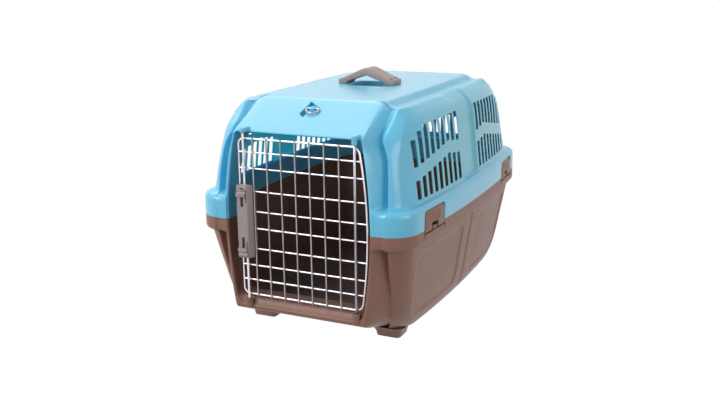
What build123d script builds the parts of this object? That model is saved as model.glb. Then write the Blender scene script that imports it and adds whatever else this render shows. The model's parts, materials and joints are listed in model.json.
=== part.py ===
from build123d import *
import os
from math import atan2, cos, degrees, radians, sin, sqrt

os.makedirs("parts", exist_ok=True)

# Pet carrier: a two-part moulded cabin with a wire door.
# The front faces -Y, X runs across the cabin and Z is up from the feet.

# Cabin
cabin_length = 460.0
cabin_width = 315.0
seam_height = 155.0
cabin_height = 304.0
wall = 3.0
foot_height = 12.0
foot_width = 26.5
foot_length = 29.6
foot_from_side = 17.5
foot_from_end = 3.4
foot_flare = 4.0
foot_corner = 5.0
belt_bow = 11.5
belt_corner = 37.0
belt_tray_height = 18.0
belt_hood_height = 30.0
belt_proud_of_tray = 6.5
belt_proud_of_hood = 10.0
belt_proud_in_front = 7.0

# Plans of the hood above its belt: drop from the roof, and distance in from the wall below
shoulder_drop = 34.0
shoulder_in = 9.0
shoulder_back = 21.0
bend_drop = 20.0
bend_in = 13.5
bend_back = 46.0
crest_drop = 6.0
crest_in = 30.0
crest_back = 62.0
roof_in = 58.0
roof_back = 71.0
visor_rise = 34.0
visor_reach = 66.5
hood_draft = 3.5
hood_bows = [12.5, 13.0, 11.5, 9.0, 5.0, 1.0]
hood_corners = [33.0, 32.0, 34.0, 28.0, 17.0, 9.0]

# Plans of the tray below its belt
tray_bend_rise = 28.0
tray_bend_in = 16.0
tray_bend_back = 17.0
floor_in = 25.0
floor_back = 58.0
tray_bows = [6.0, 8.0, 11.5, 11.5]
tray_corners = [34.0, 37.0, 35.0, 33.5]

# Door opening and its surround
opening_half_width_bottom = 88.0
opening_half_width_middle = 98.3
opening_half_width_top = 86.0
opening_bottom = 43.0
opening_top = 268.0
opening_top_corner = 4.0
opening_low_corner = 10.0
surround_half_width = 101.0
surround_top_in = 13.0
surround_depth = 26.0
surround_lean = 5.0
skirt_reach = 62.0
sill_height = 53.0
keeper_radius = 5.0
keeper_drop = 5.0
keeper_rise = 9.0
keeper_root = 11.0
valley_width = 16.0
valley_depth = 8.0
valley_lean = 17.0
valley_top_lean = 50.0

# Vents
slot_count = 9
slot_pitch = 15.9
slot_width = 9.0
slot_corner = 1.2
slot_first_from_end = 61.0
slot_bottom = 189.5
slot_low_height = 23.5
slot_rise = 2.8
slot_fall = 2.3
slot_rise_count = 6
slot_gap = 16.0
slot_top_front = 262.0
slot_top_step = 9.0
slot_top_limit = 276.0
slot_top_slope = 0.35

# Door wires
cross_wire = 2.4
upright_wire = 2.2
contour_wire = 2.6
hinge_rod = 3.2
weld_bite = 0.15
upright_count = 7
upright_pitch = 19.7
wire_setback = 4.0
hinge_x = 80.2
contour_left = 80.0
contour_gap = 2.2
contour_corner = 8.0
door_bottom = 58.2
door_top = 260.5
wire_heights = [77.7, 97.2, 119.6, 146.0, 168.0, 194.0, 223.2, 243.5]

# Latch
latch_x = -71.0
latch_bottom = 109.5
latch_top = 202.5
latch_back_width = 24.0
latch_front_width = 15.0
latch_depth = 9.5
latch_wall = 2.0
latch_lip = 1.5
latch_face = 3.5
latch_block = 11.0
latch_post = 5.6
latch_plate = 2.5
latch_plate_corner = 4.0
slider_width = 8.4
slider_length = 20.0
grip_width = 6.4
grip_length = 8.0
grip_proud = 4.0
bolt = 3.2
bolt_travel = 3.5
bolt_tip_gap = 0.4
slide_gap = 0.3
bolt_hold = 8.0
bolt_clear = 1.2
latch_screw = 2.6
latch_screw_spread = 11.0
latch_screw_hold = 4.0
latch_screw_head = 1.8
spring_wire = 0.8
spring_turns = 6

# Clips
clip_from_end = 60.0
clip_length = 64.0
clip_notch_bottom = 148.5
clip_axis_height = 152.5
clip_top = 186.0
clip_plate = 4.5
clip_pin = 2.4
clip_barrel = 5.4
clip_lug_length = 17.4
clip_rest_gap = 0.4
clip_cheek = 3.0
clip_cheek_reach = 6.0
clip_web_reach = 8.0
clip_hook_reach = 7.5
clip_hook_half = 12.0
clip_round = 2.0
ledge_half = 14.0
ledge_depth = 7.0
ledge_below_clip = 8.0

# Handle
handle_half_width = 45.0
handle_depth = 40.0
handle_block = 12.0
handle_block_height = 7.0
handle_peak = 22.5
handle_thickness = 3.0
handle_middle_thickness = 10.0
handle_lean = 5.0
handle_corner = 4.0
well_depth = 14.0
well_half_width = 31.0
well_half_depth = 26.0
handle_screw = 4.0
handle_screw_head = 6.6
handle_screw_seat = 3.0
handle_screw_head_height = 3.0
handle_screw_depth = 9.0
well_corner = 10.0

# Steel loop over the door
loop_wire = 2.4
loop_width = 20.0
loop_reach = 11.0
loop_x = 1.0
eye_width = 6.0
eye_wall = 1.5
pocket_depth = 6.0
pocket_along = 45.5
pocket_corners = [(-10, 17), (-15, -10), (-7, -16), (-3, -6), (9, -5), (8, 5), (2, 9)]
loop_corner = 2.0

running_gap = 0.05
seat_gap = 0.3
over = 1.0

half_length = cabin_length / 2
half_width = cabin_width / 2
clip_from_middle = half_length - clip_from_end
hood_top = cabin_height
belt_top = seam_height + belt_hood_height
belt_bottom = seam_height - belt_tray_height
far = 2 * cabin_length


def arc_drop(bow, half, y):
    # How far a bowed side has come in at y from its widest place.
    radius = (half ** 2 + bow ** 2) / (2 * bow)
    return radius - sqrt(radius ** 2 - y ** 2)


def outline(width, length, bow, corner, height):
    # Closed plan of the cabin: bowed long sides, straight ends, round corners.
    end = width - bow
    edges = [
        ThreePointArc((end, -length), (width, 0), (end, length)),
        Line((end, length), (-end, length)),
        ThreePointArc((-end, length), (-width, 0), (-end, -length)),
        Line((-end, -length), (end, -length)),
    ]
    face = make_face(edges)
    return Plane.XY.offset(height) * fillet(face.vertices(), corner)


def form(levels, inset=0.0):
    # Solid through a list of (height, half width, half length, bow, corner).
    plans = []
    for height, width, length, bow, corner in levels:
        plans.append(outline(width - inset, length - inset, bow, max(corner - inset, 3.0), height))
    return loft(plans, ruled=True)


def side_prism(points, x_low, x_high):
    # Prism across the cabin from a (y, z) outline.
    face = Plane.YZ * make_face(Polyline(*points, close=True))
    return Pos(x_low, 0, 0) * extrude(face, x_high - x_low)


def front_prism(face, y_low, y_high):
    # Prism along the cabin from a sketch drawn in (x, z).
    turned = Plane(origin=(0, y_low, 0), x_dir=(1, 0, 0), z_dir=(0, -1, 0)) * face
    return extrude(turned, -(y_high - y_low))


def both_ends(solid):
    return solid + mirror(solid, Plane.XZ)


def both_sides(solid):
    return solid + mirror(solid, Plane.YZ)


def slab(x_low, x_high, y_low, y_high, z_low, z_high):
    size = (x_high - x_low, y_high - y_low, z_high - z_low)
    centre = ((x_low + x_high) / 2, (y_low + y_high) / 2, (z_low + z_high) / 2)
    return Pos(*centre) * Box(*size)


def rod(diameter, start, end):
    # Round bar between two points.
    run = Vector(*end) - Vector(*start)
    return extrude(Plane(origin=start, z_dir=run) * Circle(diameter / 2), run.length)


# Levels of the hood and the tray: (height, half width, half length, bow, corner)
hood_width = half_width - belt_proud_of_hood
hood_length = half_length - belt_proud_in_front
shoulder = hood_top - shoulder_drop
crest = hood_top - crest_drop
hood_sizes = [
    (seam_height, hood_width + hood_draft, hood_length + 1.0),
    (belt_top, hood_width, hood_length),
    (shoulder, hood_width - shoulder_in, hood_length - shoulder_back),
    (hood_top - bend_drop, hood_width - bend_in, hood_length - bend_back),
    (crest, hood_width - crest_in, hood_length - crest_back),
    (hood_top, hood_width - roof_in, hood_length - roof_back),
]
hood_levels = [size + more for size, more in zip(hood_sizes, zip(hood_bows, hood_corners))]

tray_width = half_width - belt_proud_of_tray
tray_length = half_length - belt_proud_in_front
tray_bend = foot_height + tray_bend_rise
floor_half_width = tray_width - floor_in
floor_half_length = tray_length - floor_back
tray_sizes = [
    (foot_height, floor_half_width, floor_half_length),
    (tray_bend, tray_width - tray_bend_in, tray_length - tray_bend_back),
    (belt_bottom, tray_width, tray_length),
    (seam_height, tray_width + 1.0, tray_length + 1.0),
]
tray_levels = [size + more for size, more in zip(tray_sizes, zip(tray_bows, tray_corners))]

# Door surround: a raised band up the front, over the visor and along the roof
band_front = half_length - 1.0
visor_foot = hood_top - visor_rise
band_hood_points = [
    (-band_front, seam_height),
    (-band_front + surround_lean, visor_foot),
    (-band_front + surround_lean + visor_reach, hood_top),
    (0, hood_top),
    (0, seam_height),
]
band_tray_points = [
    (-band_front, seam_height),
    (-band_front - 1.0, opening_bottom + 2.0),
    (-band_front + 1.0, opening_bottom - 4.0),
    (-band_front + skirt_reach, foot_height),
    (0, foot_height),
    (0, seam_height),
]
band_tray_rear_points = [
    (-band_front, seam_height),
    (-band_front + 14.0, tray_bend + 10.0),
    (-band_front + 26.0, tray_bend - 4.0),
    (-band_front + skirt_reach + 6.0, foot_height),
    (0, foot_height),
    (0, seam_height),
]


def inward(points, by, z_floor, z_roof):
    # The same band outline drawn in by one wall, kept open at the seam.
    moved = []
    for y, z in points:
        new_y = y + by if y < 0 else y
        new_z = min(max(z, z_floor), z_roof)
        moved.append((new_y, new_z))
    return moved


def band(front_points, rear_points, half_low, half_high):
    # Band with sides that lean in towards the roof.
    sides = make_face(Polyline(
        (-half_low, 0), (half_low, 0), (half_low, shoulder),
        (half_high, hood_top + 1), (-half_high, hood_top + 1), (-half_low, shoulder), close=True))
    trim = front_prism(sides, -half_length - 5, 1)
    front = side_prism(front_points, -half_low, half_low) & trim
    rear = side_prism(rear_points, -half_low, half_low) & trim
    return front + mirror(rear, Plane.XZ)


band_top_half = surround_half_width - surround_top_in
band_hood = band(band_hood_points, band_hood_points, surround_half_width, band_top_half)
band_hood_drawn_in = inward(band_hood_points, wall * 1.1, seam_height, hood_top - wall)
band_hood_inner = band(band_hood_drawn_in, band_hood_drawn_in,
                       surround_half_width - wall, band_top_half - wall)
band_tray = band(band_tray_points, band_tray_rear_points, surround_half_width, band_top_half)
band_tray_inner = band(
    inward(band_tray_points, wall * 1.1, foot_height + wall, seam_height),
    inward(band_tray_rear_points, wall * 1.1, foot_height + wall, seam_height),
    surround_half_width - wall, band_top_half - wall)


def valley(extra):
    # Groove between the surround and a corner column, widened by extra all round.
    inner_x = surround_half_width - extra
    outer_x = surround_half_width + valley_width + extra
    floor_y = -tray_length + valley_depth + extra
    points = [
        (-far, foot_height - 20.0),
        (floor_y + 56.0, foot_height - 20.0),
        (floor_y + 56.0, foot_height + extra),
        (floor_y + 13.0, tray_bend + extra),
        (floor_y, belt_bottom),
        (floor_y, seam_height),
        (floor_y + valley_lean, shoulder - extra),
        (floor_y + valley_top_lean, crest - 8.0 - extra),
        (floor_y + valley_top_lean, far),
        (-far, far),
    ]
    return both_sides(both_ends(side_prism(points, inner_x, outer_x)))


valley_cut = valley(0.0)
valley_wall = valley(wall)


def belt(low, high):
    plan = outline(half_width, half_length, belt_bow, belt_corner, low)
    return extrude(plan, high - low)


# Door opening, drawn in (x, z)
def opening_face(grow=0.0):
    middle = seam_height
    low = opening_bottom - grow
    high = opening_top + grow
    bottom = opening_half_width_bottom + grow
    widest = opening_half_width_middle + grow
    top = opening_half_width_top + grow
    edges = [
        Line((-bottom, low), (bottom, low)),
        ThreePointArc((bottom, low), (widest, middle), (top, high)),
        Line((top, high), (-top, high)),
        ThreePointArc((-top, high), (-widest, middle), (-bottom, low)),
    ]
    rows = make_face(edges).vertices().group_by(Axis.Y)
    face = fillet(rows[0], opening_low_corner + grow)
    return fillet(face.vertices().group_by(Axis.Y)[-1], opening_top_corner + grow)


jamb_front = -half_length - 2 * over
jamb_back = -band_front + surround_depth
jamb_block = front_prism(opening_face(wall), jamb_front, jamb_back)
opening_cut = front_prism(opening_face(), jamb_front - 20, jamb_back + over)

wire_plane = -half_length + wire_setback
upright_plane = wire_plane - (cross_wire + upright_wire) / 2 + weld_bite
rod_plane = wire_plane - (cross_wire + hinge_rod) / 2 + weld_bite
bolt_plane = wire_plane - (contour_wire + bolt) / 2 - bolt_clear


# Clips are built flush with the belt's face at X 0, then turned to follow the bowed side
clip_face = half_width - arc_drop(belt_bow, half_length, clip_from_middle)
clip_turn = degrees(atan2(2 * clip_from_middle * belt_bow, half_length ** 2))
clip_axis_out = -clip_barrel / 2
clip_notch = clip_length / 2 + over
notch_floor = -clip_barrel - over
ledge_top = clip_top - ledge_below_clip


def at_clips(solid):
    # Copies of one front right solid at all four clips.
    placed = Pos(clip_face, -clip_from_middle, 0) * Rot(0, 0, -clip_turn) * solid
    return {
        "front_right": placed,
        "rear_right": mirror(placed, Plane.XZ),
        "front_left": mirror(placed, Plane.YZ),
        "rear_left": mirror(mirror(placed, Plane.XZ), Plane.YZ),
    }


def all_clips(solid):
    copies = list(at_clips(solid).values())
    return copies[0] + copies[1:]


def hood_notches():
    cut = slab(-belt_proud_of_hood - 5, 10, -clip_notch, clip_notch,
               seam_height - over, belt_top + 5)
    return all_clips(cut)


def tray_notches():
    cut = slab(notch_floor, 10, -clip_notch, clip_notch, clip_notch_bottom, seam_height + over)
    return all_clips(cut)


def clip_ledges():
    depth_in = belt_proud_of_hood + 2.0
    ledge = slab(-depth_in, -clip_plate - seat_gap, -ledge_half, ledge_half,
                 ledge_top - ledge_depth, ledge_top)
    return all_clips(ledge)


def clip_lugs():
    # Ear in the tray's notch that holds the clip's pin.
    half = clip_lug_length / 2
    barrel = rod(clip_barrel, (clip_axis_out, -half, clip_axis_height),
                 (clip_axis_out, half, clip_axis_height))
    arm = slab(notch_floor - over, clip_axis_out, -half, half,
               clip_notch_bottom - over, seam_height - seat_gap)
    hole = rod(clip_pin, (clip_axis_out, -half, clip_axis_height),
               (clip_axis_out, half, clip_axis_height))
    return all_clips(barrel + arm), all_clips(hole)


def vent_slots():
    cuts = []
    for i in range(slot_count):
        y = half_length - slot_first_from_end - i * slot_pitch
        rise = slot_rise * min(i, slot_rise_count) - slot_fall * max(i - slot_rise_count, 0)
        low_top = slot_bottom + slot_low_height + rise
        high_bottom = low_top + slot_gap
        high_top = min(slot_top_front + slot_top_step * i, slot_top_limit + slot_top_slope * i)
        for low, high in ((slot_bottom, low_top), (high_bottom, high_top)):
            plane = Plane(origin=(-far / 2, y, (low + high) / 2), x_dir=(0, 1, 0), z_dir=(1, 0, 0))
            slot = extrude(plane * RectangleRounded(slot_width, high - low, slot_corner), far)
            cuts.append(slot)
            cuts.append(mirror(slot, Plane.XZ))
    return cuts


# Well in the roof under the handle
def handle_well(grow):
    depth = well_depth + grow
    shape = slab(-well_half_width - grow, well_half_width + grow,
                 -well_half_depth - grow, well_half_depth + grow,
                 hood_top - depth, hood_top + 5)
    upright = shape.edges().filter_by(Axis.Z)
    return fillet(upright, well_corner + grow)


# Pocket in the visor for the steel loop
visor_slope = atan2(hood_top - visor_foot, visor_reach)
pocket_y = -band_front + surround_lean + pocket_along
pocket_z = visor_foot + pocket_along * (hood_top - visor_foot) / visor_reach
visor_frame = Plane(origin=(0, pocket_y, pocket_z), x_dir=(1, 0, 0),
                    z_dir=(0, -sin(visor_slope), cos(visor_slope)))


def visor_pocket(grow):
    # Hooked recess around the loop's eye, drawn up the slope.
    face = make_face(Polyline(*pocket_corners, close=True))
    if grow:
        face = offset(face, grow, kind=Kind.INTERSECTION)
    depth = pocket_depth + grow
    return extrude(visor_frame * face, 4) + extrude(visor_frame * face, -depth)


loop_lift = loop_wire / 2 + seat_gap
eye_radius = loop_wire / 2 + eye_wall
loop_axis_start = visor_frame.from_local_coords(Vector(loop_x - loop_width / 2, 0, loop_lift))
loop_axis_end = visor_frame.from_local_coords(Vector(loop_x + loop_width / 2, 0, loop_lift))


def loop_eye():
    # Eye in the pocket that the loop's straight side turns in.
    barrel = Plane.YZ.offset(-eye_width / 2) * Circle(eye_radius)
    solid = Pos(loop_x, 0, loop_lift) * extrude(barrel, eye_width)
    solid += slab(loop_x - eye_width / 2, loop_x + eye_width / 2, -eye_radius, eye_radius,
                  -pocket_depth - 0.5, loop_lift)
    return visor_frame.location * solid


def loop_solid():
    # Closed D of wire, lying down the slope from its straight side.
    half = loop_width / 2 - loop_wire / 2
    reach = loop_reach - loop_wire / 2
    straight = Line((half, 0), (-half, 0))
    round_side = ThreePointArc((-half, 0), (0, -reach), (half, 0))
    path = fillet(make_face([straight, round_side]).vertices(), loop_corner).wire()
    start = path @ 0
    wire = sweep(Plane(origin=start, z_dir=path % 0) * Circle(loop_wire / 2), path)
    return visor_frame.location * Pos(loop_x, 0, loop_lift) * wire


def loop_bore():
    return rod(loop_wire + 2 * running_gap, tuple(loop_axis_start), tuple(loop_axis_end))


def keeper(x, low, high, radius):
    # Upright cylinder round the hinge rod or a latch bolt.
    y = rod_plane if x == hinge_x else bolt_plane
    return rod(2 * radius, (x, y, low), (x, y, high))


lug_low = opening_top - keeper_drop
lug_high = opening_top + keeper_rise
rod_low = sill_height - 3.0
rod_high = opening_top + 2.0
bolt_hole = bolt + 2 * seat_gap
rod_hole = hinge_rod + 2 * running_gap
keeper_depth = bolt_travel + 2.0


def lintel_boss(x, low, radius):
    # Keeper over the door, rooted back into the foot of the visor.
    y = rod_plane if x == hinge_x else bolt_plane
    root = slab(x - radius, x + radius, y, keeper_root - band_front, opening_top + over / 2, lug_high)
    return keeper(x, low, lug_high, radius) + root


def handle_screw_holes(diameter, low, high):
    x = handle_half_width - handle_block / 2
    y = handle_depth / 4
    first = rod(diameter, (x, -y, low), (x, -y, high))
    return both_sides(both_ends(first))


handle_screw_bottom = hood_top - handle_screw_depth


def upper_shell():
    body = form(hood_levels) + band_hood + belt(seam_height, belt_top)
    body -= valley_cut - belt(seam_height, belt_top)
    body -= handle_well(0.0)
    body -= visor_pocket(0.0)
    cavity = form(hood_levels, wall) + band_hood_inner
    cavity &= slab(-far, far, -far, far, seam_height, hood_top - wall)
    cavity -= valley_wall
    cavity -= handle_well(wall)
    cavity -= visor_pocket(wall)
    screw_bosses = handle_screw_holes(handle_screw_head + 4, handle_screw_bottom - 1, hood_top - 1)
    cavity -= screw_bosses
    shell = body - cavity
    jamb = jamb_block & (body + band_hood)
    shell += jamb & slab(-far, far, -far, 0, seam_height, far)
    shell += lintel_boss(latch_x, opening_top + over / 2, keeper_radius)
    shell += lintel_boss(hinge_x, lug_low, keeper_radius)
    shell -= opening_cut - keeper(hinge_x, lug_low, opening_top + over, keeper_radius)
    shell -= keeper(latch_x, opening_top - over, opening_top + keeper_depth, bolt_hole / 2)
    shell -= keeper(hinge_x, lug_low - over, rod_high + seat_gap, rod_hole / 2)
    shell -= hood_notches() - form(hood_levels)
    shell += clip_ledges() - cavity
    shell -= vent_slots()
    shell -= handle_screw_holes(handle_screw, handle_screw_bottom, hood_top + over)
    shell += loop_eye()
    shell -= loop_bore()
    return shell


def sill():
    # Sloping sill inside the surround, from the door down to the rim.
    points = [
        (jamb_front + 1.0, opening_bottom - 1),
        (jamb_front + 1.0, opening_bottom + 2),
        (upright_plane + 6.0, sill_height),
        (jamb_back, sill_height),
        (jamb_back, opening_bottom - 1),
    ]
    low = opening_half_width_bottom + 6
    return side_prism(points, -low, low) & jamb_block


def feet():
    out = floor_half_width - foot_from_side
    front = -floor_half_length + foot_from_end
    centre = (out - foot_width / 2, front + foot_length / 2)
    plans = []
    for height, flare in ((0, 0), (foot_height + wall / 2, foot_flare)):
        plan = RectangleRounded(foot_width + 2 * flare, foot_length + 2 * flare, foot_corner + flare)
        plans.append(Pos(*centre, height) * plan)
    return both_sides(both_ends(loft(plans, ruled=True)))


def lower_shell():
    ring = belt(belt_bottom, seam_height)
    body = form(tray_levels) + band_tray + ring
    body -= valley_cut - ring
    cavity = form(tray_levels, wall) + band_tray_inner
    cavity -= valley_wall
    cavity &= slab(-far, far, -far, far, foot_height + wall, seam_height)
    shell = body - cavity
    jamb = jamb_block & (body + band_tray)
    shell += jamb & slab(-far, far, -far, 0, 0, seam_height)
    shell -= opening_cut
    shell += sill() - cavity
    shell += keeper(hinge_x, opening_bottom + over, sill_height + over, keeper_radius)
    shell += keeper(latch_x, opening_bottom + over, sill_height, keeper_radius)
    shell -= keeper(hinge_x, rod_low - seat_gap, sill_height + 2, rod_hole / 2)
    shell -= keeper(latch_x, sill_height - keeper_depth, sill_height + 2, bolt_hole / 2)
    shell += feet()
    shell -= tray_notches()
    lugs, holes = clip_lugs()
    shell += lugs
    shell -= holes
    return shell


def clip_solid():
    # One clip in its own frame: X outward, Y along the belt.
    half = clip_length / 2
    plate = slab(-clip_plate, 0, -half, half, clip_axis_height, clip_top)
    for side in (-1, 1):
        low, high = sorted((side * half, side * (half - clip_cheek)))
        plate += slab(-clip_cheek_reach, 0, low, high, seam_height + clip_cheek, clip_top)
    plate += slab(-clip_web_reach, 0, -half, half, clip_top - clip_cheek, clip_top)
    plate += slab(-clip_hook_reach, -clip_plate, -clip_hook_half, clip_hook_half,
                  ledge_top + clip_rest_gap, clip_top)
    ends = ((clip_axis_out, -half, clip_axis_height), (clip_axis_out, half, clip_axis_height))
    plate += rod(clip_barrel, *ends)
    window = clip_lug_length / 2 + seat_gap
    plate -= slab(-20, 20, -window, window, 0, clip_axis_height + clip_barrel / 2 + over)
    plate -= rod(clip_pin + 2 * running_gap, *ends)
    outer = plate.edges().filter_by(Axis.Y).group_by(Axis.Z)[-1]
    return fillet(outer.group_by(Axis.X)[-1], clip_round)


def clip_pin_solid():
    half = clip_length / 2 - 1
    return rod(clip_pin, (clip_axis_out, -half, clip_axis_height),
               (clip_axis_out, half, clip_axis_height))


# Door
def opening_half_width(height):
    # Half width of the bulging door opening at a height.
    low_run = seam_height - opening_bottom
    high_run = opening_top - seam_height
    if height < seam_height:
        drop = opening_half_width_middle - opening_half_width_bottom
        return opening_half_width_middle - drop * ((seam_height - height) / low_run) ** 2
    drop = opening_half_width_middle - opening_half_width_top
    return opening_half_width_middle - drop * ((height - seam_height) / high_run) ** 2


def contour_right(height):
    return opening_half_width(height) - contour_gap - contour_wire / 2


def contour_path():
    low = door_bottom
    high = door_top
    middle = (low + high) / 2
    left = -contour_left
    low_right = (contour_right(low), low)
    high_right = (contour_right(high), high)
    edges = [
        Line((left, high), (left, low)),
        Line((left, low), low_right),
        ThreePointArc(low_right, (contour_right(middle), middle), high_right),
        Line(high_right, (left, high)),
    ]
    face = fillet(make_face(edges).vertices(), contour_corner)
    plane = Plane(origin=(0, wire_plane, 0), x_dir=(1, 0, 0), z_dir=(0, -1, 0))
    return (plane * face).wire()


def contour_solid():
    path = contour_path()
    start = path @ 0
    return sweep(Plane(origin=start, z_dir=path % 0) * Circle(contour_wire / 2), path)


def cross_wires(contour):
    wires = []
    for height in wire_heights:
        right = contour_right(height)
        wires.append(rod(cross_wire, (-contour_left, wire_plane, height),
                         (right, wire_plane, height)) - contour)
    return wires


def uprights(carriers):
    wires = []
    first = -(upright_count - 1) / 2 * upright_pitch
    for i in range(upright_count):
        x = first + i * upright_pitch
        wires.append(rod(upright_wire, (x, upright_plane, door_bottom - 1.5),
                         (x, upright_plane, door_top + 1.5)) - carriers)
    return wires


# Latch
latch_back = upright_plane - upright_wire / 2 - weld_bite
latch_front = latch_back - latch_depth
block_half = latch_block / 2
latch_middle = (latch_bottom + latch_top) / 2
channel_half = slider_width / 2 + slide_gap
channel_front = latch_front + latch_wall + latch_face
channel_back = wire_plane - cross_wire / 2 - seat_gap
plate_front = wire_plane + contour_wire / 2 + 0.1
plate_back = plate_front + latch_plate
screw_offset = latch_screw_spread / 2
grip_front = latch_front - grip_proud


def latch_outline():
    back = latch_back_width / 2
    front = latch_front_width / 2
    lip = latch_back - latch_lip
    face = make_face(Polyline((-back, latch_back), (-back, lip), (-front, latch_front),
                              (front, latch_front), (back, lip), (back, latch_back), close=True))
    return Pos(latch_x, 0, latch_bottom) * face


def upper_slider_box(grow, rise):
    high = latch_top - latch_wall - bolt_travel + rise
    return (high - slider_length - grow, high + grow)


def slider_solid():
    # Upper slider at rest: block in the channel and grip in front.
    low, high = upper_slider_box(0.0, -slide_gap)
    half = slider_width / 2
    block = slab(latch_x - half, latch_x + half, channel_front + slide_gap,
                 channel_back - slide_gap, low, high)
    grip = slab(latch_x - grip_width / 2, latch_x + grip_width / 2, grip_front,
                channel_front + over, high - grip_length, high)
    grip = fillet(grip.edges().filter_by(Axis.X).group_by(Axis.Y)[0], 1.2)
    solid = block + grip
    bottom = (latch_x, bolt_plane, high - bolt_hold)
    return solid - rod(bolt, bottom, (latch_x, bolt_plane, high + over))


def latch_housing():
    shell = extrude(latch_outline(), latch_top - latch_bottom)
    shell += slab(latch_x - channel_half - latch_wall, latch_x + channel_half + latch_wall,
                  latch_back - 1, channel_back, latch_bottom, latch_top)
    channel = slab(latch_x - channel_half, latch_x + channel_half, channel_front,
                   channel_back + 1, latch_middle + block_half, latch_top - latch_wall)
    low, high = upper_slider_box(slide_gap, 0.0)
    slot_half = grip_width / 2 + slide_gap
    slot = slab(latch_x - slot_half, latch_x + slot_half, latch_front - over, channel_front + over,
                low, high + bolt_travel - 0.01)
    hole = rod(bolt + 2 * running_gap, (latch_x, bolt_plane, latch_top - latch_wall - 1),
               (latch_x, bolt_plane, latch_top + 1))
    upper = channel + slot + hole
    mid_plane = Plane.XY.offset(latch_middle)
    shell -= upper
    shell -= mirror(upper, mid_plane)
    for side in (-1, 1):
        x = latch_x + side * screw_offset
        end = (x, plate_front, latch_middle)
        shell += rod(latch_post, (x, latch_back - over, latch_middle), end)
        shell -= rod(latch_screw, (x, latch_back - latch_screw_hold, latch_middle), end)
    return shell


def latch_back_plate():
    half = latch_back_width / 2
    plate = slab(latch_x - half, latch_x + half, plate_front, plate_back,
                 latch_bottom + latch_wall, latch_top - latch_wall)
    plate = fillet(plate.edges().filter_by(Axis.Y), latch_plate_corner)
    for side in (-1, 1):
        x = latch_x + side * screw_offset
        plate -= rod(latch_screw, (x, plate_front, latch_middle), (x, plate_back, latch_middle))
    return plate


def latch_screws():
    screws = []
    for side in (-1, 1):
        x = latch_x + side * screw_offset
        seat = (x, plate_back, latch_middle)
        shank = rod(latch_screw, (x, latch_back - latch_screw_hold, latch_middle), seat)
        head = rod(2 * latch_screw, seat, (x, plate_back + latch_screw_head, latch_middle))
        screws.append(shank + head)
    return screws


def upper_bolt():
    bottom = upper_slider_box(0.0, -slide_gap)[1] - bolt_hold
    return rod(bolt, (latch_x, bolt_plane, bottom), (latch_x, bolt_plane, opening_top - bolt_tip_gap))


def lower_bolt():
    top = 2 * latch_middle - upper_slider_box(0.0, -slide_gap)[1] + bolt_hold
    return rod(bolt, (latch_x, bolt_plane, sill_height + bolt_tip_gap), (latch_x, bolt_plane, top))


def upper_spring():
    low = latch_middle + block_half
    high = upper_slider_box(0.0, -slide_gap)[0]
    radius = (channel_back - channel_front) / 2 - 0.4 - spring_wire / 2
    height = high - low - spring_wire - 0.1
    path = Helix(height / spring_turns, height, radius)
    coil = sweep(Plane(origin=path @ 0, z_dir=path % 0) * Circle(spring_wire / 2), path)
    centre = (channel_front + channel_back) / 2
    return Pos(latch_x, centre, low + spring_wire / 2 + 0.05) * coil


# Handle
def handle_solid():
    half = handle_half_width
    top = hood_top
    inner = half - handle_block
    block = top + handle_block_height
    under = inner - handle_lean
    foot_top = block - handle_thickness
    right = [(half, block), (half, top), (inner, top), (under, foot_top)]
    left = [(-x, z) for x, z in reversed(right)]
    middle = [(0, top + handle_peak - handle_middle_thickness)]
    profile = make_face(Polyline((0, top + handle_peak), *right, *middle, *left, close=True))
    body = front_prism(profile, -handle_depth / 2, handle_depth / 2)
    body = fillet(body.edges().filter_by(Axis.Z), handle_corner)
    body -= handle_screw_holes(handle_screw, top - over, block + 10)
    body -= handle_screw_holes(handle_screw_head, top + handle_screw_seat, block + 10)
    return body


def handle_screws():
    x = handle_half_width - handle_block / 2
    y = handle_depth / 4
    seat = hood_top + handle_screw_seat
    screws = []
    for sx in (-x, x):
        for sy in (-y, y):
            shank = rod(handle_screw, (sx, sy, handle_screw_bottom), (sx, sy, seat))
            head = rod(handle_screw_head - 0.4, (sx, sy, seat),
                       (sx, sy, seat + handle_screw_head_height))
            screws.append(shank + head)
    return screws


# The part's origin is the middle of its whole plan, with the latch's grips
plan_middle = (grip_front + half_length) / 2


def write(name, shapes):
    if not isinstance(shapes, list):
        shapes = [shapes]
    solids = []
    for shape in shapes:
        solids.extend((Pos(0, -plan_middle, 0) * shape).solids())
    export_step(Compound(children=solids) if len(solids) > 1 else solids[0], f"parts/{name}.step")
    print(name, len(solids))


write("upper_shell", upper_shell())
write("lower_shell", lower_shell())
for place, solid in at_clips(clip_solid()).items():
    write(place + "_clip", solid)
write("clip_pins", list(at_clips(clip_pin_solid()).values()))
contour = contour_solid()
write("door_outer_wire", contour)
crossings = cross_wires(contour)
carriers = [contour] + crossings
write("door_cross_wires", crossings)
write("door_upright_wires", uprights(carriers))
write("door_hinge_rod", rod(hinge_rod, (hinge_x, rod_plane, rod_low), (hinge_x, rod_plane, rod_high))
      - carriers)
write("latch_housing", latch_housing())
write("latch_back_plate", latch_back_plate())
write("latch_screws", latch_screws())
mid_plane = Plane.XY.offset(latch_middle)
write("upper_latch_slider", slider_solid())
write("lower_latch_slider", mirror(slider_solid(), mid_plane))
write("upper_latch_bolt", upper_bolt())
write("lower_latch_bolt", lower_bolt())
write("upper_latch_spring", upper_spring())
write("lower_latch_spring", mirror(upper_spring(), mid_plane))
write("handle", handle_solid())
write("handle_screws", handle_screws())
write("visor_loop", loop_solid())
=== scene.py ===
import bpy, bmesh, json, math
import numpy as np
from mathutils import Matrix, Vector


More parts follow.
